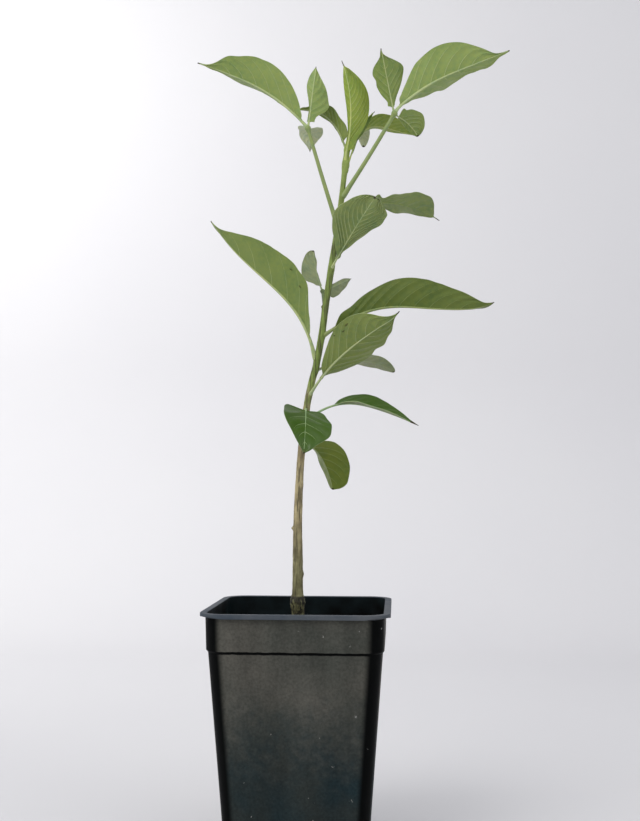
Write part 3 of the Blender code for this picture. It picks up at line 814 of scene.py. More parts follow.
# Soil
@dataclass
class SoilBed:
    """Potting mix that fills the pot, a little lower at the walls than at the stem.

    Each row of lumps is their size, their layer of the noise and their share of the relief.
    """

    pot: Pot
    below_rim: float = 26.0
    edge_dip: float = 4.0
    rings: int = 40
    relief: float = 0.8
    corner_share: float = 0.7
    lumps: tuple[Triple, ...] = ((9.0, 0.3, 0.7), (2.6, 4.0, 0.5))
    lump_sink: float = 0.6
    crumb_lift: float = 0.2
    crumb_count: int = 520
    crumb_sizes: Pair = (0.7, 2.4)
    stem_room: float = 7.5
    seed: int = 7

    @property
    def surface(self) -> float:
        """Height of the soil at the stem."""
        return self.pot.height - self.below_rim

    def level(self, x: float, y: float) -> float:
        """Height of the surface above a point of the floor plan."""
        half = self.pot.half_width(self.surface - self.edge_dip)
        out = min(1.0, max(abs(x), abs(y)) / half)
        rows = (part * noise.noise(Vector((x / size, y / size, layer))) for size, layer, part in self.lumps)
        return self.surface - self.edge_dip * out**2 + (sum(rows) - self.lump_sink) * self.relief

    def build(self) -> Mesh:
        """Makes the body of soil, with a finely lumped surface.

        Returns:
            The closed mesh.
        """
        bm = bmesh.new()
        inset = self.pot.wall + CLEARANCE
        edge = self.surface - self.edge_dip
        half = self.pot.half_width(edge) - inset
        rings = [self.pot.ring(height, inset) for height in (self.pot.floor + CLEARANCE, edge - self.relief)]
        for step in range(self.rings):
            share = 1 - step / self.rings
            corner = half * share * blend(self.corner_share, self.pot.rim_corner / half, share)
            flat = square_ring(half * share, corner, 0.0, self.pot.corner_steps)
            rings.append([Vector((point.x, point.y, self.level(point.x, point.y))) for point in flat])
        loft(bm, rings)
        return bm

    def crumbs(self) -> Mesh:
        """Makes loose crumbs that lie on the soil, in three tones.

        Returns:
            The mesh of all crumbs.
        """
        bm = bmesh.new()
        chance = random.Random(self.seed)
        reach = self.pot.half_width(self.surface) - self.pot.wall - 2 * self.crumb_sizes[1]
        made = 0
        while made < self.crumb_count:
            x, y = chance.uniform(-reach, reach), chance.uniform(-reach, reach)
            if math.hypot(x, y) < self.stem_room:
                continue
            size = blend(*self.crumb_sizes, chance.random() ** 2)
            turn = chance.uniform(0, math.tau)
            heading, rise = chance.uniform(0, 360), chance.uniform(-90, 90)
            squash = Matrix.Diagonal((1.0, chance.uniform(0.5, 0.9), chance.uniform(0.3, 0.7), 1.0))
            shape = Matrix.Rotation(turn, 4, compass(heading, rise)) @ squash
            place = Matrix.Translation((x, y, self.level(x, y) + self.crumb_lift * size))
            lump = bmesh.ops.create_icosphere(bm, subdivisions=1, radius=size, matrix=place @ shape)
            slot_faces(lump["verts"], chance.randrange(3))
            made += 1
        return bm

    def dress(self, groups: SharedGroups) -> None:
        """Builds the soil and its crumbs and gives them their finishes."""
        moist, *loose = (SoilFinish(*finish).material(groups) for finish in (
            ("moist_soil", (0.03, 0.02, 0.013), (0.07, 0.05, 0.034)),
            ("dark_crumb", (0.028, 0.018, 0.012), (0.05, 0.035, 0.025)),
            ("brown_crumb", (0.09, 0.058, 0.034), (0.05, 0.033, 0.02)),
            ("dry_crumb", (0.16, 0.12, 0.085), (0.1, 0.075, 0.05)),
        ))
        settle(finished("soil_bed", self.build(), [moist], 60.0), "potting_soil", "soil")
        settle(finished("soil_crumbs", self.crumbs(), loose, 20.0), "potting_soil")


# Stem
@dataclass(frozen=True)
class StemMark:
    """A swelling, scar or stub on the stem's bark."""

    height: float
    heading: float
    reach: float
    lift: float


@dataclass
class Stem:
    """Slender stem: woody and ridged low down, smooth and green above, with a bud at its top.

    Each station is a height, how far to the right and away the stem stands there, and its diameter.
    Marks are stubs, scars and swollen joints from the soil up, and bud rings are shares of the radius
    with their lifts above the top station. Each grain says how fine a pattern of the bark is round the
    stem and how long along it.
    """

    sides: int = 40
    ring_spacing: float = 0.9
    ridge_depth: float = 0.28
    ridge_top: float = 385.0
    ridge_fade: float = 60.0
    ridge_grain: Pair = (2.6, 9.0)
    ridge_share: float = 0.8
    pit_grain: Pair = (3.5, 1.7)
    pit_share: float = 0.35
    green_share: float = 0.25
    collar_grain: Pair = (1.5, 1.3)
    collar_height: float = 199.0
    collar_reach: float = 11.0
    collar_depth: float = 0.5
    node_lift: float = 0.75
    node_reach: float = 3.4
    stations: tuple[tuple[float, float, float, float], ...] = (
        (174.35, -2.5, 0.0, 11.6), (186.0, -2.5, 0.0, 10.8), (196.0, -2.8, 0.0, 11.4),
        (203.0, -3.0, 0.0, 12.6), (209.0, -3.1, 0.0, 9.6), (226.0, -3.0, 0.0, 8.7),
        (263.0, -3.0, -1.0, 7.6), (291.0, -2.2, -1.5, 6.8), (328.0, 0.0, -1.0, 6.1), (365.0, 4.3, 0.0, 5.9),
        (387.0, 8.6, 0.5, 6.0), (402.0, 12.5, 1.0, 6.0), (429.0, 17.3, 1.5, 5.9), (453.0, 20.5, 1.5, 5.7),
        (487.0, 25.6, 1.0, 5.8), (509.0, 29.2, 0.5, 5.4), (529.0, 32.2, 0.0, 5.0), (557.0, 35.6, 0.0, 4.6),
        (588.0, 39.1, 1.0, 4.0), (598.0, 40.0, 1.5, 2.8),
    )
    marks: tuple[StemMark, ...] = (
        StemMark(225.5, 350, 2.4, 1.1), StemMark(246.0, 250, 2.0, 0.4), StemMark(263.8, 185, 1.3, 1.7),
        StemMark(282.0, 30, 2.2, 0.45), StemMark(300.7, 300, 3.4, 0.55), StemMark(318.0, 150, 2.2, 0.4),
        StemMark(346.0, 215, 2.4, 0.5), StemMark(451.8, 190, 1.0, 1.0), StemMark(569.2, 345, 1.6, 0.7),
        StemMark(578.0, 180, 12.0, 0.55),
    )
    bud: tuple[Pair, ...] = ((0.97, 0.5), (0.8, 1.4), (0.55, 2.3), (0.3, 3.0), (0.12, 3.3))

    def at(self, height: float) -> tuple[Vector, float]:
        """Centre and radius of the stem.

        Args:
            height: where to measure.

        Returns:
            The centre and the radius, eased between the stations.
        """
        rows = self.stations
        row = max(0, min(len(rows) - 2, sum(station[0] <= height for station in rows) - 1))
        low, high = rows[row], rows[row + 1]
        before, after = rows[max(row - 1, 0)], rows[min(row + 2, len(rows) - 1)]
        span = high[0] - low[0]
        share = (height - low[0]) / span
        values = []
        for column in (1, 2, 3):
            slope_in = (high[column] - before[column]) / (high[0] - before[0]) * span
            slope_out = (after[column] - low[column]) / (after[0] - low[0]) * span
            value = low[column] * (1 + 2 * share) * (1 - share) ** 2
            value += high[column] * share**2 * (3 - 2 * share)
            values.append(value + slope_in * share * (1 - share) ** 2 - slope_out * share**2 * (1 - share))
        return Vector((values[0], values[1], height)), values[2] / 2

    def side(self, height: float, heading: float) -> Seat:
        """Seat on the stem's side at a height, square to the way the stem leans there."""
        centre, radius = self.at(height)
        axis = (self.at(height + radius)[0] - self.at(height - radius)[0]).normalized()
        level = compass(heading)
        out = (level - axis * level.dot(axis)).normalized()
        return Seat(centre + out * (radius + CLEARANCE), out, axis)

    def relief(self, height: float, heading: float, radius: float, joints: Sequence[StemMark]) -> float:
        """How far the bark stands out from the plain stem.

        Args:
            height: height of the point.
            heading: heading of the point round the stem.
            radius: the plain stem's radius there.
            joints: swellings where leaves and leaf stalks grow.

        Returns:
            The relief, which is negative in a crack.
        """
        out = compass(heading)
        grains = (self.ridge_grain, self.pit_grain, self.collar_grain)
        spots = [Vector((out.x * fine, out.y * fine, height / length)) for fine, length in grains]
        woody = 1 - eased(self.ridge_top - self.ridge_fade, self.ridge_top, height)
        ridges, pits = noise.fractal(spots[0], 1.0, 2.0, 4), noise.noise(spots[1])
        lift = (ridges * self.ridge_share + pits * self.pit_share) * self.ridge_depth
        lift *= blend(self.green_share, 1.0, woody)
        collar = hump(height - self.collar_height, self.collar_reach)
        lift += collar * self.collar_depth * noise.noise(spots[2])
        for mark in (*self.marks, *joints):
            rise = height - mark.height
            if abs(rise) < 3 * mark.reach:
                turn = math.radians((heading - mark.heading + 180) % 360 - 180) * radius
                lift += mark.lift * hump(rise, mark.reach) * hump(turn, mark.reach)
        return lift

    def build(self, joints: Sequence[StemMark]) -> Mesh:
        """Makes the stem with its bark's relief and its bud.

        Args:
            joints: swellings where leaves and leaf stalks grow.

        Returns:
            The closed mesh.
        """
        bm = bmesh.new()
        foot, top = self.stations[0][0], self.stations[-1][0]
        count = round((top - foot) / self.ring_spacing)
        rings = []
        for step in range(count + 1):
            height = blend(foot, top, step / count)
            centre, radius = self.at(height)
            ring = []
            for heading in (360 * side / self.sides for side in range(self.sides)):
                lift = self.relief(height, heading, radius, joints) if step else 0.0
                ring.append(centre + compass(heading) * (radius + lift))
            rings.append(ring)
        end, radius = self.at(top)
        across, away = Vector((1, 0, 0)), Vector((0, 1, 0))
        for share, lift in self.bud:
            rings.append(circle_ring(end + Vector((0, 0, lift)), across, away, radius * share, self.sides))
        loft(bm, rings)
        return bm

    def dress(self, groups: SharedGroups, joints: Sequence[StemMark]) -> None:
        """Builds the stem and gives it its finish."""
        bark = BarkFinish().material(groups)
        settle(finished("stem_bark", self.build(joints), [bark], 70.0), "bark", "stem")


# Long leaf stalks
@dataclass(frozen=True)
class LeafStalk:
    """A long stalk that carries several leaves round the knuckle at its end.

    The knuckle's rings are places along it and sizes, both as shares of its radius.
    """

    name: str
    seat: Seat
    end: Triple
    bow: Triple
    radius: float
    knuckle: float
    sides: int = 20
    steps: int = 36
    taper: Pair = (1.15, 0.92)
    foot_flare: float = 0.35
    foot_reach: float = 0.06
    foot_sink: float = 1.2
    end_share: float = 0.95
    ripple: float = 0.03
    ripple_grain: float = 0.4
    heel_join: float = 0.13
    heel_length: float = 1.7
    knuckle_rings: tuple[Pair, ...] = (
        (-1.1, 0.66), (-0.75, 0.76), (-0.35, 0.94), (0.0, 1.0), (0.35, 0.92), (0.65, 0.68), (0.85, 0.3))

    def path(self, share: float) -> Vector:
        """Point of the stalk's middle line at a share of its length."""
        start = self.seat.point + self.seat.out * self.radius * self.heel_length
        return blend(start, Vector(self.end), share) + Vector(self.bow) * (4 * share * (1 - share))

    def root(self) -> Vector:
        """Where the stalk starts, inside the stem."""
        return self.seat.root(self.path, self.foot_sink)

    def knuckle_side(self, heading: float, rise: float) -> Seat:
        """Seat on the knuckle's side, towards a heading and a rise."""
        out = compass(heading, rise)
        return Seat(Vector(self.end) + out * (self.knuckle + CLEARANCE), out)

    def ring(self, centre: Vector, along: Vector, radius: float) -> Ring:
        """Round outline across the stalk."""
        across = along.cross(Vector((0, 1, 0))).normalized()
        return circle_ring(centre, across, along.cross(across), radius, self.sides)

    def build(self) -> Mesh:
        """Makes the stalk, flared where it meets the stem and swollen at its end.

        Returns:
            The closed mesh.
        """
        bm = bmesh.new()
        rings, root = [], self.root()
        for step in range(self.steps + 1):
            share = self.end_share * step / self.steps
            centre, along = self.path(share), direction_of(self.path, share)
            if share < self.heel_join:
                centre, along = heel(root, self.path, self.heel_join, share)
            flare = self.foot_flare * hump(share, self.foot_reach)
            size = blend(*self.taper, share) + flare + self.ripple * noise.noise(centre * self.ripple_grain)
            rings.append(self.ring(centre, along, self.radius * size))
        along = direction_of(self.path, 1.0)
        for lift, size in self.knuckle_rings:
            centre = Vector(self.end) + along * self.knuckle * lift
            rings.append(self.ring(centre, along, self.knuckle * size))
        loft(bm, rings)
        return bm

    def dress(self, green: Material) -> None:
        """Builds the stalk and gives it its finish."""
        settle(finished(self.name + "_skin", self.build(), [green], 60.0), "leaf_stalk", self.name)


# Leaves
Lobe = Triple


@dataclass(frozen=True)
class Spot:
    """A place on a blade: how far along the leaf, how far across from -1 to 1, and a size."""

    along: float
    across: float
    size: float = 0.8
    stretch: float = 1.6


@dataclass(frozen=True)
class Leaf:
    """A folded leaf: a rib that starts at its seat as a bare stalk, and a blade on each side of it.

    arch moves the middle of the rib off the straight line from seat to tip, sway bends its two
    halves opposite ways and tip_bend turns up the last of it. left and right are the blade's widths
    on each side of the rib, as seen from above with the tip ahead, and widest says how far along
    they come. drip is the share of the leaf that is a bare, thin tip. The upper side looks towards
    faces, a heading and a rise, and fold is how far each side is raised from flat, like the covers
    of an open book. The lobes fill or notch an edge: how far along, their reach and their lift.
    veins is the number of side veins on each side of the rib, slant how far they lean to the tip,
    quilt how far the blade swells between them and vein_size how thick they are. dry_tip is how
    much of the tip has dried brown, and wedge the share over which the blade starts.
    """

    name: str
    seat: Seat
    tip: Triple
    faces: Pair
    left: float
    right: float
    fold: float
    arch: Triple = (0, 0, 0)
    sway: Triple = (0, 0, 0)
    tip_bend: Triple = (0, 0, 0)
    stalk: float = 0.08
    widest: Pair = (0.5, 0.5)
    base_curve: float = 1.0
    tip_curve: float = 1.3
    drip: float = 0.0
    wave: float = 0.6
    waves: float = 2.5
    left_lobes: tuple[Lobe, ...] = ()
    right_lobes: tuple[Lobe, ...] = ()
    veins: int = 8
    slant: float = 1.3
    quilt: float = 0.4
    vein_size: float = 1.0
    tone: LeafTone = LeafTone.MATURE
    blemishes: tuple[Spot, ...] = ()
    holes: tuple[Spot, ...] = ()
    dry_tip: float = 1.6
    wedge: float = 0.025

    RIB_LEAST_RADIUS = 0.45
    RIB_RADIUS_SHARE = 0.009
    RIB_SLENDER = 0.85
    RIB_TIP_SHARE = 0.16
    RIB_DROP = 0.2
    RIB_LEAST = 0.4
    RIB_SIDES = 12
    RIB_STEPS = 56
    RIB_CROWDING = 1.5
    RIB_END = 0.998
    RIB_TAPER = 0.8
    RIB_THINS_FROM = 0.9
    RIB_SINKS_OVER = 0.12
    HEEL_LENGTH = 1.7
    HEEL_FLARE = 0.35
    HEEL_JOIN = 7.0
    HEEL_SINK = 0.9
    TIP_BEND_FROM = 0.86
    TIP_HALF_WIDTH = 0.25
    DRIP_HALF_WIDTH = 1.6
    THICKNESS = 0.5
    FULL_FOLD_WIDTH_SHARE = 0.33
    FOLD_OPENING = 0.35
    BLADE_SAG = 0.035
    WAVE_SIDE_OFFSET = 1.9
    MARGIN_CRINKLE = 0.3
    EDGE_CRINKLE = 0.012
    CRINKLE_LENGTH = 7
    CRINKLE_LAYER = 5.0
    SEAM_SHARE = 0.12
    ROWS = 84
    COLUMNS = 32
    VEIN_SPAN = (0.04, 0.8)
    VEIN_OPENING = 0.55
    VEIN_START = 0.02
    VEIN_END = 0.93
    VEIN_LAST = 0.985
    VEIN_DROP = 0.06
    VEIN_STEPS = 9
    VEIN_SIDES = 5
    VEIN_RADII = (0.44, 0.27)
    VEIN_LEAST_WIDTH = 5.0
    SPOT_LAYERS = ((LeafSlot.HALO, 0.95, 0.8), (LeafSlot.BLEMISH, 0.5, 0.95))

    @property
    def length(self) -> float:
        """Straight distance from the seat to the tip."""
        return (Vector(self.tip) - self.seat.point).length

    @property
    def rib_radius(self) -> float:
        """Radius of the rib at its heel, which grows with the leaf."""
        return self.RIB_LEAST_RADIUS + self.RIB_RADIUS_SHARE * self.length

    def rib(self, share: float) -> Vector:
        """Point of the rib at a share of the leaf's length."""
        start = self.seat.point + self.seat.out * self.rib_radius * self.HEEL_LENGTH
        point = blend(start, Vector(self.tip), share)
        point += Vector(self.arch) * (4 * share * (1 - share))
        point += Vector(self.sway) * math.sin(2 * math.pi * share)
        bend = max(0.0, (share - self.TIP_BEND_FROM) / (1 - self.TIP_BEND_FROM))
        return point + Vector(self.tip_bend) * bend**2

    def root(self) -> Vector:
        """Where the leaf starts, inside what carries it."""
        return self.seat.root(self.rib, self.HEEL_SINK)

    def axes(self, share: float) -> tuple[Vector, Vector, Vector]:
        """Unit vectors along the rib, towards the upper side and towards the right."""
        along = direction_of(self.rib, share)
        up = compass(*self.faces)
        up = (up - along * up.dot(along)).normalized()
        return along, up, along.cross(up)

    def width_share(self, share: float, side: int) -> float:
        """Width at a share of the rib, as a share of the widest: 0 along the bare stalk."""
        if share <= self.stalk:
            return 0.0
        along_blade = min(1.0, (share - self.stalk) / (1 - self.drip - self.stalk))
        bell = math.sin(math.pi * along_blade ** (math.log(0.5) / math.log(self.widest[side])))
        return max(0.0, bell) ** blend(self.base_curve, self.tip_curve, along_blade)

    def vein_lean(self, side: int, out_share: float) -> float:
        """How far towards the tip a side vein has come, that far out from the rib."""
        reach = self.slant * (self.left, self.right)[side] / self.length
        return reach * out_share * blend(self.VEIN_OPENING, 1.0, out_share)

    def swell(self, share: float, side: int, out_share: float) -> float:
        """How far the blade swells between two side veins at a place."""
        low, high = self.VEIN_SPAN
        start = (share - self.vein_lean(side, out_share) - self.stalk) / (1 - self.stalk)
        between = (start - low) / (high - low) * (self.veins - 1)
        if not 0 < between < self.veins - 1:
            return 0.0
        return self.quilt * math.sin(math.pi * between) ** 2 * math.sqrt(out_share * (1 - out_share) * 4)

    def blade_at(self, share: float, across: float) -> tuple[Vector, Vector]:
        """A point of the blade's middle surface.

        Args:
            share: how far along the leaf.
            across: how far across, from -1 at the left edge to 1 at the right edge.

        Returns:
            The point, and the unit vector out of the upper side there.
        """
        side, sign, out_share = (0, -1.0, -across) if across < 0 else (1, 1.0, across)
        _, up, right = self.axes(share)
        wide = self.width_share(share, side)
        along = share * self.length / self.CRINKLE_LENGTH
        crinkle = noise.noise(Vector((along, self.CRINKLE_LAYER * sign, len(self.name))))
        half = (self.left, self.right)[side] * wide * (1 + self.EDGE_CRINKLE * crinkle)
        for along, reach, lift in (self.left_lobes, self.right_lobes)[side]:
            half += lift * hump(share - along, reach)
        half *= eased(self.stalk, self.stalk + self.wedge, share)
        half = max(half, self.DRIP_HALF_WIDTH * (1 - share), self.TIP_HALF_WIDTH)
        rise = math.radians(self.fold * (1 - self.FOLD_OPENING * share))
        rise *= min(1.0, wide / self.FULL_FOLD_WIDTH_SHARE)
        out = right * (sign * math.cos(rise)) + up * math.sin(rise)
        normal = up * math.cos(rise) - right * (sign * math.sin(rise))
        ripple = self.wave * wide * math.sin(2 * math.pi * self.waves * share + self.WAVE_SIDE_OFFSET * side)
        lift = (ripple + self.MARGIN_CRINKLE * crinkle * wide) * out_share**2
        lift -= half * self.BLADE_SAG * 4 * out_share * (1 - out_share)
        lift += self.swell(share, side, out_share)
        point = self.rib(share) + out * half * out_share + normal * lift
        return point, blend(up, normal, eased(0.0, self.SEAM_SHARE, out_share)).normalized()

    def add_blade(self, bm: Mesh) -> None:
        """Adds the blade: a fine sheet with a thickness, an upper side and an under side."""
        thickness = bm.verts.layers.float_vector.new("thickness")
        grid = bmesh.ops.create_grid(bm, x_segments=self.COLUMNS, y_segments=self.ROWS, size=1.0)
        sheet = list({face for vertex in grid["verts"] for face in vertex.link_faces})
        torn = [face for spot in self.holes for face in self.faces_in(sheet, spot)]
        for vertex in grid["verts"]:
            along = (vertex.co.y + 1) / 2
            eased_along = blend(along, 0.5 - 0.5 * math.cos(math.pi * along), 0.5)
            point, normal = self.blade_at(blend(self.stalk, 1.0, eased_along), vertex.co.x)
            vertex.co = point - normal * (self.THICKNESS / 2)
            vertex[thickness] = normal * self.THICKNESS
        if torn:
            bmesh.ops.delete(bm, geom=torn, context="FACES")
            sheet = [face for face in sheet if face.is_valid]
        for face in sheet:
            face.material_index = LeafSlot.VEIN
        raised = bmesh.ops.extrude_face_region(bm, geom=sheet, use_keep_orig=True)["geom"]
        for face in sheet:
            face.material_index = LeafSlot.UNDER
        for element in raised:
            if isinstance(element, bmesh.types.BMVert):
                element.co += element[thickness]
            elif isinstance(element, bmesh.types.BMFace):
                element.material_index = LeafSlot.UPPER
        bm.verts.layers.float_vector.remove(thickness)

    def faces_in(self, sheet: Sequence[bmesh.types.BMFace], spot: Spot) -> list[bmesh.types.BMFace]:
        """Faces of the flat sheet that lie in a spot."""
        width = (self.left, self.right)[int(spot.across > 0)]
        length = self.length * (1 - self.stalk) / 2
        target = Vector((spot.across, 2 * (spot.along - self.stalk) / (1 - self.stalk) - 1, 0))
        scale = Vector((width / spot.size, length / (spot.size * spot.stretch), 0))
        return [face for face in sheet if ((face.calc_center_median() - target) * scale).length < 0.5]

    def add_rib(self, bm: Mesh) -> None:
        """Adds the stalk and the midrib as one round limb that thins towards the tip."""
        root, join = self.root(), self.HEEL_JOIN / self.length
        rings = []
        for step in range(self.RIB_STEPS + 1):
            share = self.RIB_END * (step / self.RIB_STEPS) ** self.RIB_CROWDING
            along, up, right = self.axes(share)
            on_blade = eased(self.stalk, self.stalk + self.RIB_SINKS_OVER, share)
            radius = self.rib_radius * self.RIB_SLENDER
            taper = blend(1.0, self.RIB_TIP_SHARE, share**self.RIB_TAPER)
            radius *= taper + self.HEEL_FLARE * hump(share, join / 2)
            least = self.RIB_LEAST * (1 - eased(self.RIB_THINS_FROM, 1.0, share))
            radius = max(radius, least, self.TIP_HALF_WIDTH)
            centre = self.rib(share)
            if share < join:
                centre, outward = heel(root, self.rib, join, share)
                turn = along.rotation_difference(outward)
                up, right = turn @ up, turn @ right
            centre -= up * (radius * self.RIB_DROP * on_blade)
            rings.append(circle_ring(centre, right, up, radius, self.RIB_SIDES))
        loft(bm, rings, LeafSlot.RIB)

    def add_vein(self, bm: Mesh, start: float, side: int) -> None:
        """Adds one side vein as a fine limb sunk in the blade.

        Args:
            bm: the leaf's mesh.
            start: how far along the leaf the vein leaves the rib.
            side: 0 for the left, 1 for the right.
        """
        rings = []
        for step in range(self.VEIN_STEPS + 1):
            out_share = self.VEIN_START + (self.VEIN_END - self.VEIN_START) * step / self.VEIN_STEPS
            share = start + self.vein_lean(side, out_share)
            if share > self.VEIN_LAST:
                break
            point, normal = self.blade_at(share, (-out_share, out_share)[side])
            radius = self.vein_size * blend(*self.VEIN_RADII, out_share)
            along, centre = self.axes(share)[0], point - normal * self.VEIN_DROP
            rings.append(circle_ring(centre, along, normal, radius, self.VEIN_SIDES))
        if len(rings) > 2:
            loft(bm, rings, LeafSlot.VEIN)

    def add_blemish(self, bm: Mesh, spot: Spot) -> None:
        """Adds a dry spot that goes through the blade, with a yellowed rim."""
        point, normal = self.blade_at(spot.along, spot.across)
        along, _, right = self.axes(spot.along)
        turned = Matrix((right, along, normal)).transposed().to_4x4()
        for slot, spread, depth in self.SPOT_LAYERS:
            sizes = (spot.size * spread, spot.size * spot.stretch * spread, self.THICKNESS * depth, 1.0)
            place = Matrix.Translation(point) @ turned @ Matrix.Diagonal(sizes)
            lump = bmesh.ops.create_icosphere(bm, subdivisions=2, radius=1.0, matrix=place)
            slot_faces(lump["verts"], slot)

    def build(self) -> Mesh:
        """Makes the whole leaf.

        Returns:
            The mesh: blade, rib, side veins and dry spots.
        """
        bm = bmesh.new()
        self.add_blade(bm)
        self.add_rib(bm)
        for side, width in enumerate((self.left, self.right)):
            if width >= self.VEIN_LEAST_WIDTH:
                for vein in range(self.veins):
                    share = blend(*self.VEIN_SPAN, vein / (self.veins - 1))
                    self.add_vein(bm, blend(self.stalk, 1.0, share), side)
        for spot in self.blemishes:
            self.add_blemish(bm, spot)
        tip = self.rib(1.0)
        for face in bm.faces:
            if (face.calc_center_median() - tip).length < self.dry_tip:
                face.material_index = LeafSlot.BLEMISH
        return bm

    def dress(self, paint: LeafPaint) -> None:
        """Builds the leaf and gives it its finish."""
        slot = "young_leaf" if self.name.startswith("tip_") else "leaf"
        piece = finished(self.name + "_blade", self.build(), paint.materials(self.tone), 60.0)
        settle(piece, slot, self.name)


@dataclass
class Foliage:
    """All leaves and the long stalks that carry some of them."""

    stem: Stem
    joint_share: float = 0.3
    joint_drop: float = 0.8
    stalk_green: GreenFinish = GreenFinish("stalk_green", (0.25, 0.32, 0.12), 0.45, relief=0.25)
    shaded_green: GreenFinish = GreenFinish("shaded_stalk_green", (0.13, 0.18, 0.075), 0.5, relief=0.25)

    def stalks(self) -> tuple[LeafStalk, LeafStalk, LeafStalk]:
        """The long stalks: left, right and back."""
        side = self.stem.side
        return (
            LeafStalk("left_leaf_stalk", side(532, 185), (6, -11, 604), (0, 0, -1), 1.6, 2.7),
            LeafStalk("right_leaf_stalk", side(554, 335), (80, -16, 613), (0.4, 0, -0.4), 1.7, 2.8),
            LeafStalk("back_leaf_stalk", side(452, 105), (16, 26, 470), (0, 2, -1), 1.3, 2.2),
        )

    def lower(self) -> list[Leaf]:
        """Leaves on the lower half of the stem, from the soil up."""
        side = self.stem.side
        return [
            Leaf("lowest_back_leaf", side(335, 60), tip=(24, 42, 296), faces=(58, 20), left=11, right=21.2,
                 fold=38, arch=(2, 1, 7.5), stalk=0.13, widest=(0.48, 0.53), base_curve=0.42,
                 tip_curve=0.32, veins=5, tone=LeafTone.OLIVE, quilt=0.3, vein_size=0.9,
                 left_lobes=((0.5, 0.3, 0.5),), right_lobes=((0.95, 0.05, 0.8),)),
            Leaf("heart_leaf", side(363, 270), tip=(6, -46, 324.5), faces=(292, 42), left=21.8, right=18,
                 fold=12, arch=(1, -6, 4), stalk=0.05, widest=(0.5, 0.35), base_curve=0.4, tip_curve=1.2,
                 veins=5, quilt=0.6, tone=LeafTone.DEEP, slant=0.8,
                 left_lobes=((0.15, 0.1, 1.2), (0.7, 0.08, 1.0), (0.93, 0.05, 1.4)),
                 right_lobes=((0.13, 0.13, 4.2), (0.36, 0.12, 1.6), (0.62, 0.14, -1.8)),
                 blemishes=(Spot(0.955, 0.0, 1.0, 1.4),), vein_size=1.2, wedge=0.05),
            Leaf("low_right_leaf", side(358.5, 345), tip=(98, -28, 348), faces=(285, 70), left=13,
                 right=11, fold=34, arch=(0, -1, 12.7), sway=(0, 0, 2), stalk=0.2, widest=(0.42, 0.5),
                 tip_curve=1.4, veins=7, tone=LeafTone.DEEP, dry_tip=7.0, left_lobes=((0.3, 0.12, 1.2),),
                 right_lobes=((0.35, 0.12, -1.2),)),
            Leaf("middle_front_leaf", side(380, 300), tip=(84.5, -66, 433), faces=(110, 30), left=23.2,
                 right=22.2, fold=20, arch=(-2, -2, 6), sway=(-1, 0, 0), tip_bend=(-1.5, 0, 2.5),
                 stalk=0.12, widest=(0.41, 0.53), base_curve=1.15, tip_curve=1.5,
                 blemishes=(Spot(0.59, 0.78, 1.3, 2.4), Spot(0.53, 0.68, 1.1, 2.2),
                 Spot(0.46, 0.86, 0.8, 1.5)), tone=LeafTone.DULL, quilt=0.6,
                 left_lobes=((0.8, 0.05, 1.8), (0.92, 0.05, -1.2), (0.66, 0.05, 1.2), (0.56, 0.05, -2.4)),
                 right_lobes=((0.2, 0.12, 1.8), (0.04, 0.06, 4.0), (0.85, 0.07, -2.6)), vein_size=0.95,
                 dry_tip=3.0, wedge=0.1),
            Leaf("middle_back_leaf", side(400, 40), tip=(78.5, 58, 401.5), faces=(80, 50), left=8.5,
                 right=9.5, fold=10, arch=(2, 2, 8.9), stalk=0.15, tip_curve=0.5, veins=6,
                 tone=LeafTone.PALE, left_lobes=((0.88, 0.06, 1.0),), right_lobes=((0.4, 0.2, -0.8),)),
            Leaf("long_left_leaf", side(416, 200), tip=(-82.5, 20, 533), faces=(20, 30), left=29.8,
                 right=22, fold=50, arch=(4.2, 2, 2.4), sway=(5.3, 0, 0), stalk=0.06, widest=(0.48, 0.55),
                 base_curve=1.15, tip_curve=1.65, veins=7, tone=LeafTone.SOFT,
                 blemishes=(Spot(0.42, -0.8, 1.7, 1.1), Spot(0.33, -0.7, 1.5, 1.1)), slant=1.0,
                 left_lobes=((0.42, 0.06, 1.4), (0.32, 0.05, 3.0), (0.2, 0.06, -2.6), (0.55, 0.1, -1.8),
                 (0.08, 0.05, 3.2)), right_lobes=((0.94, 0.07, 2.6), (0.2, 0.08, 1.6))),
            Leaf("long_right_leaf", side(430.5, 340), tip=(158.5, -36, 442.5), faces=(90, 60), left=24,
                 right=24.4, fold=55, arch=(0, 0, 11.1), sway=(0, 0, 4.3), tip_bend=(1, 0, 4.5),
                 stalk=0.03, widest=(0.5, 0.51), base_curve=1.2, tip_curve=0.95, veins=9,
                 tone=LeafTone.SHADED, quilt=0.7,
                 right_lobes=((0.1, 0.05, 3.6), (0.32, 0.07, -1.0), (0.86, 0.08, 1.2), (0.96, 0.03, -1.2)),
                 vein_size=0.8),
        ]

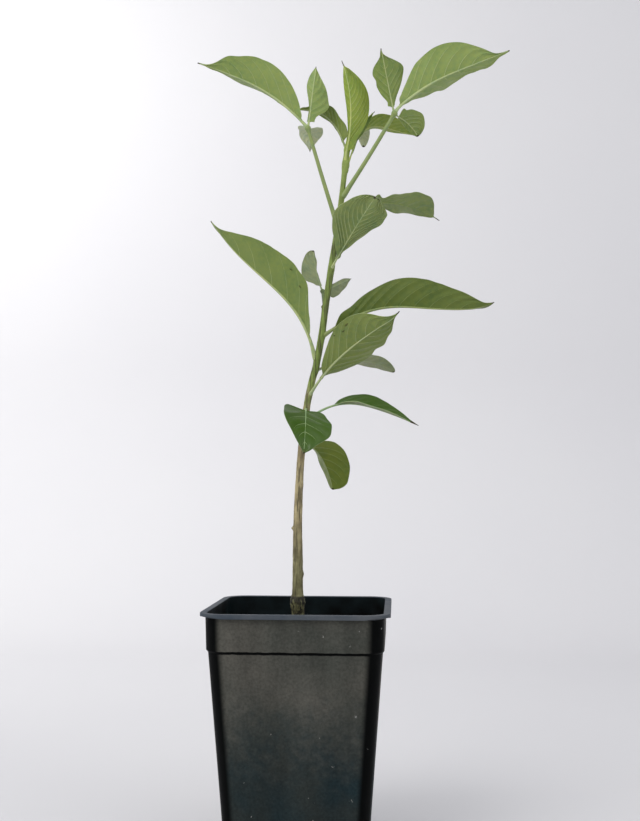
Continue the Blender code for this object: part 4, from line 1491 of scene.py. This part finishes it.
    def upper(self, back: LeafStalk) -> list[Leaf]:
        """Leaves on the upper half of the stem, and those round the knuckle of the back stalk."""
        side = self.stem.side
        return [
            Leaf("back_round_leaf", back.knuckle_side(150, 62), tip=(6.3, 46, 511), faces=(110, 10),
                 left=2, right=13, fold=15, arch=(-1.2, 2, 0), stalk=0.05, widest=(0.7, 0.42),
                 base_curve=0.8, tip_curve=0.4, veins=5, tone=LeafTone.PALE, quilt=0.7,
                 left_lobes=((0.5, 0.12, -0.6), (0.0, 0.07, 2.4)),
                 right_lobes=((0.45, 0.15, 0.2), (0.14, 0.06, -2.0), (0.0, 0.05, 2.4))),
            Leaf("back_small_leaf", back.knuckle_side(20, 15), tip=(40, 52, 486), faces=(90, 20), left=8.7,
                 right=4, fold=15, arch=(2, 0, 1), stalk=0.04, widest=(0.3, 0.5), base_curve=0.5, veins=5,
                 tone=LeafTone.PALE, left_lobes=((0.15, 0.1, 1.6), (0.6, 0.2, -0.4)),
                 right_lobes=((0.5, 0.3, -0.9), (0.15, 0.1, 0.8))),
            Leaf("upper_front_leaf", side(487, 290), tip=(64, -48, 532.5), faces=(110, 40), left=20.5,
                 right=22.6, fold=12, arch=(-1, -2, -1), stalk=0.1, widest=(0.7, 0.6), base_curve=1.2,
                 tip_curve=0.5, veins=9, quilt=1.0, holes=(Spot(0.87, -0.34, 1.5, 1.3),),
                 tone=LeafTone.DUSTY,
                 left_lobes=((0.85, 0.05, 2.2), (0.6, 0.08, -2.4), (0.3, 0.1, 1.6), (0.12, 0.06, 2.2)),
                 right_lobes=((0.8, 0.07, -1.2), (0.5, 0.1, -0.9), (0.22, 0.08, 1.6)), vein_size=1.7,
                 slant=1.7),
            Leaf("upper_back_leaf", side(539, 35), tip=(118, 70, 545), faces=(60, 30), left=10.3,
                 right=16.6, fold=10, arch=(0, 2, 9), stalk=0.12, widest=(0.6, 0.74), base_curve=1.2,
                 tip_curve=0.45, tip_bend=(2.5, 0, -2.5), dry_tip=4.0, drip=0.05, wave=1.6, waves=3.0,
                 tone=LeafTone.VEILED, quilt=0.7,
                 left_lobes=((0.42, 0.03, 3.0), (0.7, 0.1, 0.8), (0.9, 0.05, -1.4)),
                 right_lobes=((0.31, 0.045, 6.8), (0.46, 0.05, 2.4), (0.62, 0.04, -1.4), (0.8, 0.05, 1.4),
                 (0.93, 0.04, -3.0))),
        ]

    def crown(self, left: LeafStalk, right: LeafStalk) -> list[Leaf]:
        """Leaves round the knuckles of the two long stalks."""
        return [
            Leaf("left_long_leaf", left.knuckle_side(190, 50), tip=(-86, -30, 656), faces=(60, 60),
                 left=24, right=16, fold=40, arch=(-1, -2, 8.4), sway=(0, 0, 1.3), stalk=0.02,
                 widest=(0.43, 0.5), base_curve=1.05, tip_curve=1.6, drip=0.03, veins=7,
                 tone=LeafTone.BRIGHT, quilt=0.6,
                 left_lobes=((0.75, 0.07, 3.2), (0.46, 0.08, -1.5), (0.3, 0.09, -0.7), (0.02, 0.03, 2.2)),
                 right_lobes=((0.42, 0.05, 2.4), (0.75, 0.1, -1.2), (0.12, 0.08, -1.2)), vein_size=1.3),
            Leaf("left_upright_leaf", left.knuckle_side(40, 78), tip=(12, 4, 664), faces=(90, 20),
                 left=14.8, right=6.2, fold=20, stalk=0.02, widest=(0.4, 0.7), base_curve=0.8, veins=6,
                 quilt=0.6, left_lobes=((0.15, 0.08, -3.4), (0.03, 0.03, 2.2), (0.36, 0.08, 1.2)),
                 tone=LeafTone.BRIGHT),
            Leaf("left_hanging_leaf", left.knuckle_side(80, 5), tip=(5.5, 18, 592.5), faces=(90, 30),
                 left=9.4, right=11.3, fold=20, arch=(0, 2, 6), stalk=0.03, widest=(0.45, 0.4),
                 base_curve=0.35, veins=5, tone=LeafTone.LIT_PALE,
                 left_lobes=((0.25, 0.12, 2.4), (0.6, 0.15, 0.8)), right_lobes=((0.5, 0.2, 0.8),)),
            Leaf("right_long_leaf", right.knuckle_side(5, 60), tip=(178, -6, 669), faces=(100, 50),
                 left=16, right=25.4, fold=35, arch=(-2, 0, 5), sway=(0, 0, 1.3), stalk=0.02,
                 widest=(0.5, 0.45), tip_curve=1.5, drip=0.02, veins=7, tone=LeafTone.BRIGHT, quilt=0.6,
                 left_lobes=((0.25, 0.1, 3.4), (0.45, 0.07, 5.2), (0.64, 0.06, -3.4), (0.83, 0.06, 6.4),
                 (0.96, 0.04, 1.4)), right_lobes=((0.17, 0.08, -1.4), (0.35, 0.08, -0.8),
                 (0.68, 0.12, 1.2), (0.88, 0.05, -1.6), (0.03, 0.04, 2.2)), vein_size=1.2),
            Leaf("right_upright_leaf", right.knuckle_side(200, 72), tip=(69, -30, 664), faces=(110, 10),
                 left=18, right=11.5, fold=20, stalk=0.02, widest=(0.61, 0.58), base_curve=0.65,
                 tip_curve=1.5, drip=0.06, veins=6, quilt=0.6,
                 left_lobes=((0.02, 0.04, 1.4), (0.68, 0.1, 1.6), (0.88, 0.05, -0.8)),
                 right_lobes=((0.25, 0.1, 0.8), (0.04, 0.05, 2.6), (0.72, 0.08, 0.6), (0.5, 0.07, -1.6),
                 (0.93, 0.05, 1.4))),
            Leaf("right_hanging_leaf", right.knuckle_side(45, -25), tip=(100, 6, 600), faces=(112, 20),
                 left=4, right=16, fold=10, arch=(1, 1, 2), stalk=0.03, widest=(0.5, 0.58), base_curve=0.7,
                 tip_curve=0.5, veins=5, quilt=0.6, right_lobes=((0.5, 0.15, -1.5), (0.1, 0.08, 4.6))),
        ]

    def tip(self) -> list[Leaf]:
        """The youngest leaves, crowded round the top of the stem."""
        side = self.stem.side
        return [
            Leaf("tip_upright_leaf", side(583, 262), tip=(36, -26, 656), faces=(110, 10), left=19.2,
                 right=4.2, fold=20, arch=(6, -2, 0), stalk=0.03, widest=(0.55, 0.68), base_curve=0.85,
                 tip_curve=0.75, drip=0.065, veins=11, slant=1.5, quilt=0.9, vein_size=1.3,
                 tone=LeafTone.FRESH, dry_tip=4.5, left_lobes=((0.5, 0.3, 0.4), (0.06, 0.06, 3.0)),
                 right_lobes=((0.3, 0.15, 0.5), (0.04, 0.05, 1.5))),
            Leaf("tip_left_leaf", side(594, 160), tip=(-6, 24, 633), faces=(80, 50), left=11.4, right=3,
                 fold=20, arch=(5, 2, 9.5), stalk=0.03, widest=(0.34, 0.5), base_curve=0.9,
                 tone=LeafTone.OLIVE, left_lobes=((0.93, 0.05, 1.2), (0.3, 0.12, -2.6), (0.05, 0.05, 2.5)),
                 right_lobes=((0.35, 0.15, 0.8), (0.12, 0.07, -2.2))),
            Leaf("tip_right_leaf", side(594, 40), tip=(98, 52, 617), faces=(70, 50), left=5.5, right=13,
                 fold=20, arch=(-2, 0, 12), sway=(0, 0, 3), stalk=0.06, veins=9, tone=LeafTone.YOUNG,
                 left_lobes=((0.35, 0.1, 1.2), (0.7, 0.12, -1.0))),
            Leaf("tip_narrow_leaf", side(582, 345), tip=(63, 3, 622), faces=(350, 30), left=3.5, right=3.5,
                 fold=50, arch=(-1, -2, 4), stalk=0.04, veins=6, tone=LeafTone.YOUNG,
                 left_lobes=((0.2, 0.2, -1.6),), right_lobes=((0.2, 0.2, -1.6),)),
            Leaf("tip_hanging_leaf", side(578, 105), tip=(52, 44, 604.5), faces=(80, 85), left=7,
                 right=8.6, fold=15, arch=(3, 8, 23), stalk=0.2, tip_curve=0.5, veins=6,
                 tone=LeafTone.LIT_PALE),
        ]

    def joint_marks(self, grown: Sequence[LeafStalk | Leaf]) -> list[StemMark]:
        """Swellings of the stem under what grows from it.

        Args:
            grown: the leaves and the long stalks.

        Returns:
            A mark for each that grows from the stem.
        """
        marks = []
        for limb in grown:
            if limb.seat.axis.length > 0:
                heading = math.degrees(math.atan2(limb.seat.out.y, limb.seat.out.x))
                low = blend(limb.root().z, limb.seat.point.z, self.joint_share) - self.joint_drop
                marks.append(StemMark(low, heading, self.stem.node_reach, self.stem.node_lift))
        return marks

    def dress(self, groups: SharedGroups) -> None:
        """Builds stem, stalks and leaves and gives them their finishes."""
        left, right, back = self.stalks()
        leaves = [*self.lower(), *self.upper(back), *self.crown(left, right), *self.tip()]
        self.stem.dress(groups, self.joint_marks([left, right, back, *leaves]))
        pale, shaded = self.stalk_green.material(groups), self.shaded_green.material(groups)
        for stalk, green in ((left, pale), (right, pale), (back, shaded)):
            stalk.dress(green)
        paint = LeafPaint(groups)
        for leaf in leaves:
            leaf.dress(paint)


# Studio
@dataclass(frozen=True)
class SoftLight:
    """A wide, soft lamp: where it stands, what it looks at, its size and its power."""

    name: str
    place: Triple
    aim: Triple
    size: float
    power: float
    colour: Triple

    def hang(self) -> None:
        """Puts the lamp in the scene."""
        lamp = bpy.data.lights.new(self.name, "AREA")
        lamp.shape, lamp.size, lamp.energy, lamp.color = "DISK", self.size, self.power, self.colour
        hung = bpy.data.objects.new(self.name, lamp)
        hung.visible_camera = False
        hung.location = self.place
        hung.rotation_euler = (Vector(self.aim) - Vector(self.place)).to_track_quat("-Z", "Y").to_euler()
        bpy.context.scene.collection.objects.link(hung)


@dataclass(frozen=True)
class Studio:
    """A pale floor that sweeps up behind the plant, soft lamps and the photographer's camera, in metres."""

    floor_half: float = 3.0
    sweep_from: float = 1.0
    sweep_radius: float = 0.6
    sweep_steps: int = 24
    wall_height: float = 3.0
    floor_tone: Triple = (0.69, 0.685, 0.695)
    floor_patch: Triple = (0.655, 0.65, 0.67)
    sky_tone: Triple = (0.95, 0.96, 1.0)
    sky_power: float = 0.76
    eye: Triple = (0.08, -0.88, 0.296)
    yaw: float = 4.18
    pitch: float = 4.33
    focal_pixels: float = 1045.0
    photo_height: float = 821.0
    sensor: float = 36.0
    clip_start: float = 0.05
    lamps: tuple[SoftLight, ...] = (
        SoftLight("window", (-1.3, -1.5, 1.9), (0.0, 0.1, 0.4), 1.8, 26.0, (1.0, 0.99, 0.97)),
        SoftLight("fill", (1.7, -1.2, 1.0), (0.0, 0.1, 0.4), 1.6, 5.0, (0.95, 0.97, 1.0)),
        SoftLight("backdrop_wash", (-1.15, 0.5, 1.35), (-0.6, 1.6, 0.9), 0.9, 11.0, (1.0, 0.99, 0.97)),
    )

    def build_floor(self, groups: SharedGroups) -> None:
        """Makes the floor and its sweep, which are not part of the plant."""
        bm = bmesh.new()
        bmesh.ops.create_grid(bm, x_segments=1, y_segments=1, size=self.floor_half)
        bmesh.ops.translate(bm, vec=(0, self.sweep_from - self.floor_half, 0), verts=bm.verts)
        far = [edge for edge in bm.edges if all(v.co.y > self.sweep_from - 0.01 for v in edge.verts)]
        turned = bmesh.ops.spin(bm, geom=far, cent=(0, self.sweep_from, self.sweep_radius), axis=(1, 0, 0),
                                angle=math.radians(90), steps=self.sweep_steps, use_merge=False)
        last = [edge for edge in turned["geom_last"] if isinstance(edge, bmesh.types.BMEdge)]
        wall = bmesh.ops.extrude_edge_only(bm, edges=last)["geom"]
        risen = [vertex for vertex in wall if isinstance(vertex, bmesh.types.BMVert)]
        bmesh.ops.translate(bm, vec=(0, 0, self.wall_height), verts=risen)
        bmesh.ops.scale(bm, vec=Vector((1, 1, 1)) / MM, verts=bm.verts)
        skin = Skin(groups, "pale_paper", roughness=0.85, specular_ior_level=0.15)
        skin.feed(base_color=skin.mottle(self.floor_tone, self.floor_patch, 1.2, 0.5)["Color"])
        finished("floor", bm, [skin.material], 80.0)

    def build_light(self) -> None:
        """Makes the even sky and the soft lamps."""
        world = bpy.data.worlds.new("soft_sky")
        world.use_nodes = True
        sky = world.node_tree.nodes["Background"]
        sky.inputs["Color"].default_value = (*self.sky_tone, 1.0)
        sky.inputs["Strength"].default_value = self.sky_power
        bpy.context.scene.world = world
        for lamp in self.lamps:
            lamp.hang()

    def build_camera(self) -> None:
        """Makes the camera at the photograph's eye point and viewing angle."""
        camera = bpy.data.cameras.new("camera")
        camera.sensor_width = self.sensor
        camera.lens = self.focal_pixels * self.sensor / self.photo_height
        camera.clip_start = self.clip_start
        eye = bpy.data.objects.new("camera", camera)
        eye.location = self.eye
        eye.rotation_euler = (math.radians(90 + self.pitch), 0.0, math.radians(self.yaw))
        bpy.context.scene.collection.objects.link(eye)
        bpy.context.scene.camera = eye

    def build(self, groups: SharedGroups) -> None:
        """Sets up floor, light, camera and how brightness becomes colour."""
        self.build_floor(groups)
        self.build_light()
        self.build_camera()
        bpy.context.scene.view_settings.view_transform = "Standard"


def main() -> None:
    """Builds the studio, the pot, the soil and the plant, in that order."""
    logging.basicConfig(level=logging.INFO, format="%(name)s %(message)s")
    groups = SharedGroups()
    Studio().build(groups)
    pot = Pot()
    pot.dress(groups)
    SoilBed(pot).dress(groups)
    Foliage(Stem()).dress(groups)


if __name__ == "__main__":
    main()
